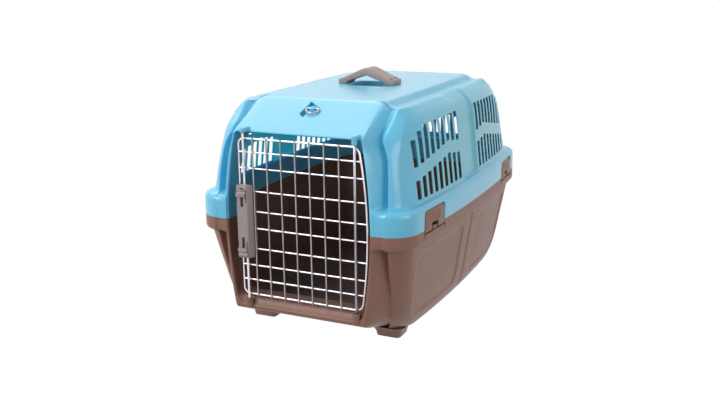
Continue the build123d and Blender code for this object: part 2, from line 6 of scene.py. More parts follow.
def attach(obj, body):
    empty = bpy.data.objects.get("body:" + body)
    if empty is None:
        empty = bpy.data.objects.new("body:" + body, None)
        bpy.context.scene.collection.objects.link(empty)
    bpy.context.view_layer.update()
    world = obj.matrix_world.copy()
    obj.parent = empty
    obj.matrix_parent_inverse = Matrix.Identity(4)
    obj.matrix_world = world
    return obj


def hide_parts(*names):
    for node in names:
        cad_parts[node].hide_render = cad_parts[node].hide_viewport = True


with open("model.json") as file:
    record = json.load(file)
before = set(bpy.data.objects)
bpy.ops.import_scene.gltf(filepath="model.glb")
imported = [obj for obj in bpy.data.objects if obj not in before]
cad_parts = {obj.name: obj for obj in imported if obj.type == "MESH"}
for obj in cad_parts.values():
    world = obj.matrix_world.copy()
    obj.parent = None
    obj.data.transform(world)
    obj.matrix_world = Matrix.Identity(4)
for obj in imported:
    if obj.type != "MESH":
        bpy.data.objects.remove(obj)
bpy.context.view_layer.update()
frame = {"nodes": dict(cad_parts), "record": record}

mm = 0.001
planShift = 6.45
print("frame loaded")

cabin = {
    "halfLength": 230.0, "halfWidth": 157.5, "beltBow": 11.5, "beltCorner": 37.0,
    "wall": 2.8, "roof": 304.0, "floor": 12.0,
}
opening = {"ahead": -262.0, "bottom": 43.0, "seam": 155.0, "top": 268.0,
           "lowHalf": 88.0, "midHalf": 98.3, "topHalf": 86.0, "corner": 10.0, "topCorner": 4.0}

# How far the end bands reach, the points in each part of a quarter outline outside and inside,
# the distance that merges doubled points, and the four signs of x and y.
bandLimit = cabin["halfLength"] - 0.2
planCounts = (16, 7, 7, 12)
insideEdges, insideCounts = (70.0, 74.0, 78.0), (4, 1, 1, 8)
merge = 0.0001
quarters = [(sx, sy) for sx in (-1, 1) for sy in (-1, 1)]


# Small helpers
def curveThrough(pairs):
    # Smooth monotone curve through (key, value) pairs, used for every profile.
    keys = np.array([p[0] for p in pairs], float)
    values = np.array([p[1] for p in pairs], float)
    step = np.diff(keys)
    slope = np.diff(values) / step
    tangent = np.zeros(len(keys))
    tangent[0], tangent[-1] = slope[0], slope[-1]
    for i in range(1, len(keys) - 1):
        if slope[i - 1] * slope[i] > 0:
            a, b = 2 * step[i] + step[i - 1], step[i] + 2 * step[i - 1]
            tangent[i] = (a + b) / (a / slope[i - 1] + b / slope[i])

    def value(k):
        k = min(max(k, keys[0]), keys[-1])
        i = min(int(np.searchsorted(keys, k, side="right")) - 1, len(keys) - 2)
        t = (k - keys[i]) / step[i]
        h = step[i]
        return ((2 * t**3 - 3 * t**2 + 1) * values[i] + (t**3 - 2 * t**2 + t) * h * tangent[i]
                + (3 * t**2 - 2 * t**3) * values[i + 1] + (t**3 - t**2) * h * tangent[i + 1])
    return value


def smoothStep(low, high, x):
    t = min(max((x - low) / (high - low), 0.0), 1.0)
    return t * t * (3 - 2 * t)


def meshObject(name, points, faces, scale=mm):
    # The plan shift sets the box's middle at the origin.
    mesh = bpy.data.meshes.new(name)
    mesh.from_pydata([(x * scale, (y + planShift) * scale, z * scale) for x, y, z in points], [], faces)
    mesh.validate()
    piece = bpy.data.objects.new(name, mesh)
    bpy.context.scene.collection.objects.link(piece)
    return piece


def mended(piece, distance):
    # Merge doubles and turn every face outwards.
    mesh = bmesh.new()
    mesh.from_mesh(piece.data)
    bmesh.ops.remove_doubles(mesh, verts=mesh.verts, dist=distance * mm)
    bmesh.ops.recalc_face_normals(mesh, faces=mesh.faces)
    mesh.to_mesh(piece.data)
    mesh.free()
    return piece


def baked(piece):
    # Apply every modifier, keeping the object at the origin.
    bpy.context.view_layer.update()
    graph = bpy.context.evaluated_depsgraph_get()
    final = bpy.data.meshes.new_from_object(piece.evaluated_get(graph))
    piece.modifiers.clear()
    old = piece.data
    piece.data = final
    final.name = piece.name
    bpy.data.meshes.remove(old)
    return piece


def cut(piece, tool, operation="DIFFERENCE"):
    # Exact boolean that uses up its tool.
    step = piece.modifiers.new("cut", "BOOLEAN")
    step.operation = operation
    step.solver = "EXACT"
    step.object = tool
    baked(piece)
    bpy.data.objects.remove(tool)
    return piece


def joined(name, parts):
    # One object from several, without a boolean.
    mesh = bmesh.new()
    for part in parts:
        mesh.from_mesh(part.data)
        bpy.data.objects.remove(part)
    final = bpy.data.meshes.new(name)
    mesh.to_mesh(final)
    mesh.free()
    piece = bpy.data.objects.new(name, final)
    bpy.context.scene.collection.objects.link(piece)
    return piece


def fuse(piece, tool):
    return cut(piece, tool, "UNION")


def arc(centreA, centreB, radius, start, sweep, steps):
    # Points round part of a circle, both ends included.
    angles = [math.radians(start + sweep * i / steps) for i in range(steps + 1)]
    return [(centreA + radius * math.cos(a), centreB + radius * math.sin(a)) for a in angles]


def extruded(name, lower, upper):
    # Closed body between two matching outlines of 3-D points.
    count = len(lower)
    faces = [tuple(range(count)), tuple(range(count, 2 * count))[::-1]]
    faces += [(i, (i + 1) % count, (i + 1) % count + count, i + count) for i in range(count)]
    return mended(meshObject(name, lower + upper, faces), merge)


def prism(name, outline, axis, low, high):
    # Closed prism: outline is a list of 2-D points, extruded along an axis from low to high.
    order = {"x": lambda a, b, c: (c, a, b), "y": lambda a, b, c: (a, c, b), "z": lambda a, b, c: (a, b, c)}
    ends = ([order[axis](a, b, level) for a, b in outline] for level in (low, high))
    return extruded(name, *ends)


def roundedBox(centreA, centreB, halfA, halfB, radius, steps=5):
    # Outline of a rectangle with round corners.
    outline = []
    for sa, sb, start in ((1, 1, 0), (-1, 1, 90), (-1, -1, 180), (1, -1, 270)):
        middleA, middleB = centreA + sa * (halfA - radius), centreB + sb * (halfB - radius)
        outline += arc(middleA, middleB, radius, start, 90, steps)
    return outline


def tube(name, start, end, rings, segments=24):
    # Turned body from start towards end: rings lists (distance along, radius).
    start, end = Vector(start), Vector(end)
    along = (end - start).normalized()
    side = along.orthogonal().normalized()
    other = along.cross(side)
    loops = []
    for distance, radius in rings:
        centre = start + along * distance
        loop = []
        for i in range(segments):
            angle = math.tau * i / segments
            loop.append(tuple(centre + (side * math.cos(angle) + other * math.sin(angle)) * radius))
        loops.append(loop)
    return closedSkin(name, loops)


def block(name, low, high, soft=0.0):
    # Box between two corners, with softened edges where soft is given.
    outline = [(low[0], low[1]), (high[0], low[1]), (high[0], high[1]), (low[0], high[1])]
    piece = prism(name, outline, "z", low[2], high[2])
    return bevelled(piece, soft, 2) if soft else piece


def wireLoop(name, path, radius, sides=14):
    # Closed round wire through points that lie in a plane of constant y.
    count = len(path)
    points, faces = [], []
    for i, point in enumerate(path):
        run = (Vector(path[(i + 1) % count]) - Vector(path[i - 1])).normalized()
        flat = Vector((-run.z, 0, run.x))
        for j in range(sides):
            angle = math.tau * j / sides
            step = flat * math.cos(angle) + Vector((0, 1, 0)) * math.sin(angle)
            points.append(tuple(Vector(point) + step * radius))
            a, b, k = i * sides, (i + 1) % count * sides, (j + 1) % sides
            faces.append((a + j, a + k, b + k, b + j))
    return mended(meshObject(name, points, faces), merge)


def bore(x, y, low, high, radius):
    # Upright round cutter.
    return tube("bore", (x, y, low), (x, y, high), [(0, radius), (high - low, radius)])


def smoothShade(piece, degrees):
    piece.data.shade_smooth()
    piece.data.set_sharp_from_angle(angle=math.radians(degrees))


def bevelled(piece, width, segments=3, degrees=35):
    step = piece.modifiers.new("edge", "BEVEL")
    step.width = width * mm
    step.segments = segments
    step.limit_method = "ANGLE"
    step.angle_limit = math.radians(degrees)
    step.use_clamp_overlap = True
    return baked(piece)


# Plan outlines
def quarterPlan(halfWidth, frontLength, bandLength, valleyLength, bow, corner, edges, counts, ridge=None):
    # Front right quarter of one level, from the middle of the front to the middle of the side.
    # A ridge (x, y) makes the corner an almost flat column face that ends in an upright edge.
    bandEdge, valleyFloor, columnEdge = edges
    slope = 2 * bow * (frontLength - corner) / frontLength**2
    norm = math.hypot(1, slope)
    centreY = -frontLength + corner
    endY = centreY - corner * slope / norm
    endX = halfWidth - bow * (endY / frontLength) ** 2
    centreX = endX - corner / norm

    def base(x):
        if x <= centreX:
            return -frontLength
        return centreY - math.sqrt(max(corner**2 - (x - centreX) ** 2, 0.0))

    columnY = base(columnEdge) if ridge is None else -frontLength
    points = []
    for i in range(counts[0]):
        points.append((bandEdge * i / counts[0], -bandLength))
    for i in range(counts[1]):
        t = i / counts[1]
        x = bandEdge + (valleyFloor - bandEdge) * t
        ease = smoothStep(0, 1, t) * 0.45 + t * 0.55
        points.append((x, -bandLength + (bandLength - valleyLength) * ease))
    for i in range(counts[2]):
        t = i / counts[2]
        x = valleyFloor + (columnEdge - valleyFloor) * t
        points.append((x, -valleyLength + (columnY + valleyLength) * smoothStep(0, 1, t)))
    if ridge is not None:
        return points + ridgedSide(columnEdge, columnY, ridge, halfWidth, frontLength, bow, counts[3])
    startAngle = math.atan2(base(columnEdge) - centreY, columnEdge - centreX)
    if columnEdge <= centreX:
        startAngle = -math.pi / 2
    endAngle = -math.atan(slope)
    for i in range(counts[3]):
        t = i / counts[3]
        angle = startAngle + (endAngle - startAngle) * t
        x = centreX + corner * math.cos(angle)
        y = centreY + corner * math.sin(angle)
        if columnEdge < centreX:
            x = max(x, columnEdge + (centreX - columnEdge) * min(3 * t, 1))
        points.append((x, y))
    for y in sideStations(endY):
        points.append((halfWidth - bow * (y / frontLength) ** 2, y))
    return points


def ridgedSide(columnX, columnY, ridge, halfWidth, frontLength, bow, count):
    # Column face, its edge, and the side wall that bends in to meet that edge.
    edgeX, edgeY = ridge
    bulge, bendLength = 1.1, 45.0
    points = []
    for i in range(count):
        t = 1 - (1 - i / count) ** 1.5
        out = 4 * bulge * t * (1 - t) * 0.7
        points.append((columnX + (edgeX - columnX) * t + out, columnY + (edgeY - columnY) * t - out))
    miss = halfWidth - bow * (edgeY / frontLength) ** 2 - edgeX
    for y in sideStations(edgeY):
        bend = max(0.0, 1 + (edgeY - y) / bendLength) ** 2
        points.append((halfWidth - bow * (y / frontLength) ** 2 - miss * bend, y))
    soft = list(points)
    for i in range(count - 3, count + 3):
        soft[i] = tuple((points[i - 1][k] + 2 * points[i][k] + points[i + 1][k]) / 4 for k in (0, 1))
    return soft


def sideStations(endY):
    # Places along a long side: wider apart from the corner on, then even, then closer round the middle.
    fixed = list(range(120, 40, -5)) + [37, 34, 32, 30, 28, 26, 24, 22, 20, 16, 12, 8, 4, 0]
    near = [endY + (-fixed[0] - endY) * (i / 24) ** 1.5 for i in range(24)]
    return near + [-float(y) for y in fixed]


def towardsBelt(wall, share, valleyIn, edges):
    # Outline between the belt's, at a share of 0, and the wall's, at 1.
    long = cabin["halfLength"]
    belt = quarterPlan(cabin["halfWidth"], long, bandLimit, long - valleyIn, cabin["beltBow"],
                       cabin["beltCorner"], edges, planCounts)
    return [(b[0] + (w[0] - b[0]) * share, b[1] + (w[1] - b[1]) * share) for b, w in zip(belt, wall)]


def fullLoops(fronts, rears):
    # Join front and rear quarter loops of (x, y, z) into closed loops.
    loops = []
    for front, rear in zip(fronts, rears):
        right = front + [(x, -y, z) for x, y, z in rear[-2::-1]]
        loops.append(right + [(-x, y, z) for x, y, z in right[-2:0:-1]])
    return loops


def closedSkin(name, loops):
    # Solid body through closed loops, flat at both ends.
    count = len(loops[0])
    points = [p for loop in loops for p in loop]
    faces = [tuple(range(count)), tuple(range(count * (len(loops) - 1), count * len(loops)))]
    for row in range(len(loops) - 1):
        for i in range(count):
            j = (i + 1) % count
            a = row * count
            faces.append((a + i, a + j, a + count + j, a + count + i))
    return mended(meshObject(name, points, faces), 0.004)


# Hood
hoodShape = {
    "foot": 189, "sideValley": 4.0, "sideValleyHalf": 24.0, "sideValleyRamp": 7.0, "sideValleyOut": 90,
    "sideValleyLow": (185, 190), "sideValleyHigh": (297, 300.5), "widenHigh": (284, 297), "widen": 0.9,
    "channelIn": (87.5, 94.0), "channelOut": (101.0, 111.5), "channelFloor": 296.4,
    "softLow": (80.0, 140.0, 274.0), "softHigh": (118.0, 200.0, 303.9), "softRounds": 5,
}
hoodHalf = curveThrough([
    (189, 147.6), (230, 143.1), (262, 139.6), (272, 138.2), (279, 136.4), (285, 132.8), (290, 127.8),
    (294, 122.6), (296.6, 118.6), (298, 115.2), (299.2, 110.0), (301, 101.0), (302.6, 92.5), (303.3, 88.0),
    (303.8, 84.0), (304, 80.0),
])
hoodBand = curveThrough([
    (189, 228.3), (230, 226.6), (256, 225.2), (264, 224.6), (268, 223.4), (270.5, 219.8), (275, 211.6),
    (285, 192.8), (295, 174.0), (301, 162.8), (302.6, 159.4), (303.4, 156.8), (303.8, 154.0), (304, 150.0),
])
hoodColumn = curveThrough([
    (189, 217.5), (215, 213.5), (240, 208.0), (262, 203.0), (269, 198.0), (275, 190.0), (285, 176.5),
    (295, 165.5), (298, 162.5), (301, 158.0), (303, 154.0), (304, 150.0),
])
hoodValley = curveThrough([
    (189, 209.0), (215, 205.5), (240, 201.0), (256, 197.0), (264, 192.5), (270, 186.5), (275, 179.5),
    (285, 167.0), (295, 156.0), (301, 151.5), (303, 150.0), (304, 148.5),
])
hoodBow = curveThrough([
    (189, 12.9), (230, 12.6), (262, 12.2), (279, 10.5), (290, 7.8), (298, 5.4), (302, 3.0), (304, 1.5),
])
hoodCorner = curveThrough([
    (189, 31), (215, 33), (262, 34), (279, 27), (290, 18), (298, 11), (302, 8), (304, 7),
])
hoodBandEdge = curveThrough([
    (155, 101.0), (189, 100.5), (215, 97.5), (240, 94.0), (256, 90.5), (268, 88.2), (275, 87.3),
    (298, 86.0), (302, 83.5), (304, 77.0),
])
hoodValleyEdge = curveThrough([
    (155, 114), (189, 113.5), (240, 109.5), (256, 104.0), (265, 98.8), (275, 96.5), (290, 96.5),
    (298, 97.0), (301, 90.0), (303, 84.0), (304, 78.0),
])
hoodColumnEdge = curveThrough([
    (155, 119), (189, 118.5), (240, 115.0), (256, 109.5), (265, 105.5), (275, 105.5), (285, 106.4),
    (295, 108.0), (298, 108.5), (301, 97.0), (303, 88.0), (304, 79.5),
])
ridgeX = curveThrough([
    (189, 130.4), (215, 127.8), (262, 122.2), (275, 120.8), (285, 119.3), (292, 117.6), (297, 115.6),
    (298.5, 111.5), (301, 101.0), (302.6, 92.0), (304, 80.0),
])
ridgeY = curveThrough([
    (189, 206.9), (215, 202.0), (262, 189.4), (269, 184.5), (275, 178.0), (285, 167.0), (292, 156.0),
    (297, 146.0), (298.5, 145.0), (301, 146.0), (302.6, 147.0), (304, 146.0),
])
beltLip = curveThrough([
    (155, 0.006), (155.5, 0.0), (176, 0.0), (179, 0.02), (181.6, 0.085), (183.6, 0.2), (184.8, 0.36),
    (185.5, 0.56), (186.2, 0.76), (187.2, 0.9), (189, 1.0),
])


def hoodQuarter(z):
    level = max(z, hoodShape["foot"])
    edges = (hoodBandEdge(z), hoodValleyEdge(z), hoodColumnEdge(z))
    wall = quarterPlan(hoodHalf(level), hoodColumn(level), hoodBand(level), hoodValley(level), hoodBow(level),
                       hoodCorner(level), edges, planCounts, (ridgeX(level), -ridgeY(level)))
    return wall if z >= hoodShape["foot"] else towardsBelt(wall, beltLip(z), 0.8, edges)


def hoodDetail(x, y, z):
    # Side hollow between the vent panels, and the channel beside the roof's plateau.
    c = hoodShape
    ax, ay = abs(x), abs(y)
    if z > c["sideValleyLow"][0] and ax > c["sideValleyOut"]:
        spread = 1.0 + c["widen"] * smoothStep(*c["widenHigh"], z)
        depth = 1 - smoothStep(c["sideValleyHalf"], c["sideValleyHalf"] + c["sideValleyRamp"] * spread, ay)
        depth *= smoothStep(*c["sideValleyLow"], z) * (1 - smoothStep(*c["sideValleyHigh"], z))
        x -= math.copysign(c["sideValley"] * depth, x)
    bump = smoothStep(*c["channelIn"], ax) * (1 - smoothStep(*c["channelOut"], ax))
    z -= bump * max(0.0, z - c["channelFloor"])
    return x, y, z


def hoodLevels():
    low = [155, 155.5, 163, 171, 176, 178, 180, 181.6, 182.8, 183.8, 184.6, 185.2, 185.7, 186.4, 187.4, 189]
    wall = list(np.linspace(192.5, 262, 18)) + [264.5, 266.5, 268, 269.5, 271, 273]
    visor = list(np.linspace(275.2, 293, 10)) + [294.4, 295.6, 296.6, 297.4, 298.1, 298.8, 299.6, 300.4]
    top = [301.2, 301.9, 302.5, 303.0, 303.3, 303.55, 303.75, 303.9, 304.0]
    return low + wall + visor + top


def makeHoodSkin():
    loops = [[hoodDetail(x, y, z) for x, y in hoodQuarter(z)] for z in hoodLevels()]
    return softened(closedSkin("upper_hood", fullLoops(loops, loops)))


def softened(piece):
    # Relax the skin where the roof's channels run into the grooves beside the sloping ends.
    low, high = hoodShape["softLow"], hoodShape["softHigh"]
    mesh = bmesh.new()
    mesh.from_mesh(piece.data)
    near = []
    for vertex in mesh.verts:
        x, y, z = abs(vertex.co.x) / mm, abs(vertex.co.y / mm - planShift), vertex.co.z / mm
        if low[0] < x < high[0] and low[1] < y < high[1] and low[2] < z < high[2]:
            near.append(vertex)
    for _ in range(hoodShape["softRounds"]):
        bmesh.ops.smooth_vert(mesh, verts=near, factor=0.5, use_axis_x=True, use_axis_y=True, use_axis_z=True)
    mesh.to_mesh(piece.data)
    mesh.free()
    return piece


# Camera, light and stage
stage = {"world": 0.34, "glow": 0.78, "floorHalf": 3}
cameraView = {"place": (0.5332, -1.16505, 0.4679), "yaw": 25.34, "pitch": 14.65, "roll": -0.65, "lens": 45.84}


def addCamera():
    yaw, pitch, roll = (math.radians(cameraView[k]) for k in ("yaw", "pitch", "roll"))
    ahead = Vector((-math.sin(yaw) * math.cos(pitch), math.cos(yaw) * math.cos(pitch), -math.sin(pitch)))
    right = Vector((math.cos(yaw), math.sin(yaw), 0))
    up = right.cross(ahead)
    rightRolled = right * math.cos(roll) + up * math.sin(roll)
    upRolled = up * math.cos(roll) - right * math.sin(roll)
    camera = bpy.data.objects.new("camera", bpy.data.cameras.new("camera"))
    camera.data.lens = cameraView["lens"]
    camera.data.sensor_width = 36.0
    turn = Matrix((rightRolled, upRolled, -ahead)).transposed().to_4x4()
    camera.matrix_world = Matrix.Translation(cameraView["place"]) @ turn
    camera.data.clip_start = 0.05
    bpy.context.scene.collection.objects.link(camera)
    bpy.context.scene.camera = camera


def addLamp(name, place, aimHigh, size, power):
    lamp = bpy.data.objects.new(name, bpy.data.lights.new(name, "AREA"))
    lamp.data.shape = "RECTANGLE"
    lamp.data.size = lamp.data.size_y = size
    lamp.data.energy = power
    lamp.location = place
    lamp.rotation_euler = (Vector((0, 0, aimHigh)) - Vector(place)).to_track_quat("-Z", "Y").to_euler()
    bpy.context.scene.collection.objects.link(lamp)


def addNode(tree, kind, settings=None, **inputs):
    # Node with its settings, and its inputs set or linked by name.
    node = tree.nodes.new(kind)
    for key, value in (settings or {}).items():
        setattr(node, key, value)
    for key, value in inputs.items():
        socket = node.inputs[key.replace("_", " ")]
        if hasattr(value, "is_output"):
            tree.links.new(value, socket)
        else:
            socket.default_value = value
    return node


def splitBySight(tree, unseen, seen, output):
    # One shader for the light, another for camera, glossy and transmitted rays.
    path = addNode(tree, "ShaderNodeLightPath")
    sight = path.outputs["Is Camera Ray"]
    for ray in ("Is Glossy Ray", "Is Transmission Ray"):
        either = addNode(tree, "ShaderNodeMath", {"operation": "MAXIMUM"})
        tree.links.new(sight, either.inputs[0])
        tree.links.new(path.outputs[ray], either.inputs[1])
        sight = either.outputs[0]
    mix = addNode(tree, "ShaderNodeMixShader")
    for socket, source in zip(mix.inputs, (sight, unseen, seen)):
        tree.links.new(source, socket)
    tree.links.new(mix.outputs[0], addNode(tree, output).inputs["Surface"])


def addWorld():
    world = bpy.data.worlds.new("studio")
    bpy.context.scene.world = world
    world.use_nodes = True
    tree = world.node_tree
    tree.nodes.clear()
    light, white = (addNode(tree, "ShaderNodeBackground", Color=(1, 1, 1, 1), Strength=strength).outputs[0]
                    for strength in (stage["world"], 1.0))
    splitBySight(tree, light, white, "ShaderNodeOutputWorld")


def addFloor():
    # The plan shift counts in metres here, so the floor lies behind the part, from y 3.45 to 9.45.
    half = stage["floorHalf"]
    floor = meshObject("floor", [(-half, -half, 0), (half, -half, 0), (half, half, 0), (-half, half, 0)],
                       [(0, 1, 2, 3)], 1.0)
    material = bpy.data.materials.new("paleFloor")
    material.use_nodes = True
    tree = material.node_tree
    tree.nodes.clear()
    diffuse = addNode(tree, "ShaderNodeBsdfDiffuse", Color=(0.8, 0.8, 0.8, 1)).outputs[0]
    glow = addNode(tree, "ShaderNodeEmission", Strength=stage["glow"]).outputs[0]
    add = addNode(tree, "ShaderNodeAddShader")
    tree.links.new(diffuse, add.inputs[0])
    tree.links.new(glow, add.inputs[1])
    splitBySight(tree, diffuse, add.outputs[0], "ShaderNodeOutputMaterial")
    floor.data.materials.append(material)


addCamera()
addWorld()
addFloor()
addLamp("key", (-1.1, -1.75, 1.3), 0.15, 1.3, 35)
addLamp("fill", (2.0, -0.6, 0.9), 0.15, 1.2, 15)
addLamp("top", (-0.9, 0.7, 1.9), 0.2, 2.0, 22)
bpy.context.scene.view_settings.view_transform = "Standard"
print("camera, light and stage ready")


# Materials
def noise(tree, scale, detail):
    coord = addNode(tree, "ShaderNodeTexCoord")
    field = addNode(tree, "ShaderNodeTexNoise", Vector=coord.outputs["Object"], Scale=scale, Detail=detail)
    return field.outputs["Fac"]


def startMaterial(name, colour, darker, mottle, roughness, spread, scuff):
    # Mottle (scale, detail, low and high stop) between two colours, and roughness that varies by a spread.
    material = bpy.data.materials.new(name)
    material.use_nodes = True
    tree = material.node_tree
    shader = tree.nodes["Principled BSDF"]
    scale, detail, lowStop, highStop = mottle
    ramp = addNode(tree, "ShaderNodeValToRGB", Fac=noise(tree, scale, detail))
    stops = ramp.color_ramp.elements
    stops[0].position, stops[0].color = lowStop, (*darker, 1)
    stops[1].position, stops[1].color = highStop, (*colour, 1)
    tree.links.new(ramp.outputs["Color"], shader.inputs["Base Color"])
    rough = addNode(tree, "ShaderNodeMapRange", Value=noise(tree, *scuff), To_Min=roughness - spread[0],
                    To_Max=roughness + spread[1])
    tree.links.new(rough.outputs["Result"], shader.inputs["Roughness"])
    return material, tree, shader


def plastic(name, colour, darker, roughness, grain, coat=0.0, through=0.0):
    # Moulded plastic: slight mottle, uneven gloss and fine grain.
    mottle, spread, scuff = (9.0, 6.0, 0.3, 0.68), (0.05, 0.07), (38.0, 8.0)
    material, tree, shader = startMaterial(name, colour, darker, mottle, roughness, spread, scuff)
    bump = addNode(tree, "ShaderNodeBump", Strength=grain, Distance=0.0004, Height=noise(tree, 1400.0, 2.0))
    tree.links.new(bump.outputs["Normal"], shader.inputs["Normal"])
    shader.inputs["Subsurface Weight"].default_value = through
    shader.inputs["Subsurface Radius"].default_value = (0.25, 0.8, 1.0)
    shader.inputs["Subsurface Scale"].default_value = 0.006
    shader.inputs["Coat Weight"].default_value = coat
    shader.inputs["Coat Roughness"].default_value = 0.2
    return material


def steel(name, colour, darker, roughness, metallic=1.0):
    # Drawn wire: faint stains and fine drawing marks.
    stains, spread, marks = (60.0, 5.0, 0.35, 0.6), (0.08, 0.1), (900.0, 2.0)
    material, tree, shader = startMaterial(name, colour, darker, stains, roughness, spread, marks)
    shader.inputs["Metallic"].default_value = metallic
    return material


bluePlastic = plastic("bluePlastic", (0.135, 0.54, 0.755), (0.115, 0.505, 0.72), 0.36, 0.05, 0.5, 0.7)
taupePlastic = plastic("taupePlastic", (0.23, 0.11, 0.078), (0.205, 0.097, 0.068), 0.45, 0.12)
palePlastic = plastic("palePlastic", (0.33, 0.245, 0.225), (0.3, 0.22, 0.2), 0.4, 0.1)
latchPlastic = plastic("latchPlastic", (0.33, 0.275, 0.27), (0.29, 0.24, 0.235), 0.42, 0.1)
doorSteel = steel("doorSteel", (0.84, 0.80, 0.83), (0.66, 0.62, 0.65), 0.3, 0.85)
# A darker copy of the door steel. Its colour is painted shade for the door's uprights, welds, hinge rod and
# the visor loop.
shadedSteel = steel("shadedSteel", (0.42, 0.40, 0.41), (0.3, 0.28, 0.29), 0.34, 0.9)
screwSteel = steel("screwSteel", (0.62, 0.61, 0.60), (0.42, 0.41, 0.40), 0.34)
bySlot = {"blue_plastic": bluePlastic, "taupe_plastic": taupePlastic, "latch_plastic": latchPlastic,
          "door_steel": doorSteel, "screw_steel": screwSteel}
slotOf = {s["node"]: s["material_slot"] for s in frame["record"]["subparts"]}


def dressNodes():
    # Carried-over nodes get the procedural material of their slot.
    for name, node in frame["nodes"].items():
        node.data.materials.clear()
        node.data.materials.append(bySlot[slotOf[name]])
        smoothShade(node, 30)


dressNodes()
# The visor loop wears the darker steel copy, which paints shade on it.
frame["nodes"]["visor_loop"].data.materials[0] = shadedSteel
print("materials ready")


def place(piece, body, slot, *nodes, finish=None, degrees=34):
    # Rides on its body, stands for its nodes and wears its slot's finish, unless it has its own.
    smoothShade(piece, degrees)
    piece.data.materials.clear()
    piece.data.materials.append(finish or bySlot[slot])
    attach(piece, body)
    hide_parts(*nodes)
    return piece


# Node groups
def startGroup(name, inputs):
    group = bpy.data.node_groups.new(name, "GeometryNodeTree")
    for way in ("INPUT", "OUTPUT"):
        group.interface.new_socket("Geometry", in_out=way, socket_type="NodeSocketGeometry")
    for label, kind, value in inputs:
        socket = group.interface.new_socket(label, in_out="INPUT", socket_type="NodeSocket" + kind)
        socket.default_value = value
    group.interface.new_socket("Material", in_out="INPUT", socket_type="NodeSocketMaterial")
    return group, group.nodes.new("NodeGroupInput")


def copiesAt(group, start, shape, scale):
    # A shape on every point, realized.
    spread = addNode(group, "GeometryNodeInstanceOnPoints", Points=start.outputs["Geometry"], Instance=shape,
                     Scale=scale)
    real = addNode(group, "GeometryNodeRealizeInstances", Geometry=spread.outputs["Instances"])
    return real.outputs["Geometry"]


def endGroup(group, start, geometry):
    paint = addNode(group, "GeometryNodeSetMaterial", Geometry=geometry, Material=start.outputs["Material"])
    group.links.new(paint.outputs["Geometry"], group.nodes.new("NodeGroupOutput").inputs["Geometry"])
    return group


def runGroup(piece, group, values):
    # Evaluate a group on an object with its inputs set by identifier.
    step = piece.modifiers.new("repeat", "NODES")
    step.node_group = group
    for item in group.interface.items_tree:
        if item.item_type == "SOCKET" and item.in_out == "INPUT" and item.name in values:
            step[item.identifier] = values[item.name]
    return baked(piece)


def pointCloud(name, points, **attributes):
    # Bare vertices that carry named values for a node group.
    piece = meshObject(name, points, [])
    for label, values in attributes.items():
        vector = isinstance(values[0], (tuple, list))
        layer = piece.data.attributes.new(label, "FLOAT_VECTOR" if vector else "FLOAT", "POINT")
        for i, value in enumerate(values):
            if vector:
                layer.data[i].vector = [c * mm for c in value]
            else:
                layer.data[i].value = value * mm
    return piece


def makeBarGroup():
    # A round bar from every point along its stored reach.
    group, start = startGroup("bars", [("Radius", "Float", 0.001), ("Sides", "Int", 12)])
    line = addNode(group, "GeometryNodeCurvePrimitiveLine", Start=(0, 0, 0), End=(1, 1, 1))
    reach = addNode(group, "GeometryNodeInputNamedAttribute", {"data_type": "FLOAT_VECTOR"}, Name="reach")
    real = copiesAt(group, start, line.outputs["Curve"], reach.outputs["Attribute"])
    ring = addNode(group, "GeometryNodeCurvePrimitiveCircle", Radius=start.outputs["Radius"],
                   Resolution=start.outputs["Sides"])
    solid = addNode(group, "GeometryNodeCurveToMesh", Curve=real, Profile_Curve=ring.outputs["Curve"],
                    Fill_Caps=True)
    return endGroup(group, start, solid.outputs["Mesh"])


def makeSlotGroup():
    # Flat-sided cutter at every point, as tall as its stored height.
    group, start = startGroup("slots", [("Slot Width", "Float", 0.006), ("Span", "Float", 0.4)])
    height = addNode(group, "GeometryNodeInputNamedAttribute", {"data_type": "FLOAT"}, Name="height")
    size = addNode(group, "ShaderNodeCombineXYZ", X=start.outputs["Span"], Y=start.outputs["Slot Width"],
                   Z=height.outputs["Attribute"])
    box = addNode(group, "GeometryNodeMeshCube", Size=(1, 1, 1))
    return endGroup(group, start, copiesAt(group, start, box.outputs["Mesh"], size.outputs["Vector"]))


def makeNubGroup():
    # A slightly uneven blob of weld metal at every point.
    group, start = startGroup("welds", [("Radius", "Float", 0.001), ("Seed", "Int", 3)])
    ball = addNode(group, "GeometryNodeMeshIcoSphere", Radius=start.outputs["Radius"], Subdivisions=2)
    vary = addNode(group, "FunctionNodeRandomValue", {"data_type": "FLOAT_VECTOR"},
                   Seed=start.outputs["Seed"], Min=(0.85, 0.9, 0.85), Max=(1.15, 1.0, 1.15))
    return endGroup(group, start, copiesAt(group, start, ball.outputs["Mesh"], vary.outputs["Value"]))


barGroup, slotGroup, nubGroup = makeBarGroup(), makeSlotGroup(), makeNubGroup()


# Cutters shared by hood and tray
def openingHalf(z, grow=0.0):
    # Half width of the bulging door opening at one height, plus grow.
    low, mid, high = opening["bottom"], opening["seam"], opening["top"]
    if z < mid:
        drop = (opening["midHalf"] - opening["lowHalf"]) * ((mid - z) / (mid - low)) ** 2
    else:
        drop = (opening["midHalf"] - opening["topHalf"]) * ((z - mid) / (high - mid)) ** 2
    return opening["midHalf"] - drop + grow


def bulgingSide(low, high, lowCorner, highCorner, grow, steps):
    # Right side of the opening's outline, from the bottom to the top, with round corners.
    right = []
    for dx, dz in arc(0, 0, lowCorner, -90, 90, 8):
        z = low + lowCorner + dz
        right.append((openingHalf(z, grow) - lowCorner + dx, z))
    for i in range(1, steps):
        z = low + lowCorner + (high - low - lowCorner - highCorner) * i / steps
        right.append((openingHalf(z, grow), z))
    for dx, dz in arc(0, 0, highCorner, 0, 90, 8):
        z = high - highCorner + dz
        right.append((openingHalf(z, grow) - highCorner + dx, z))
    return right


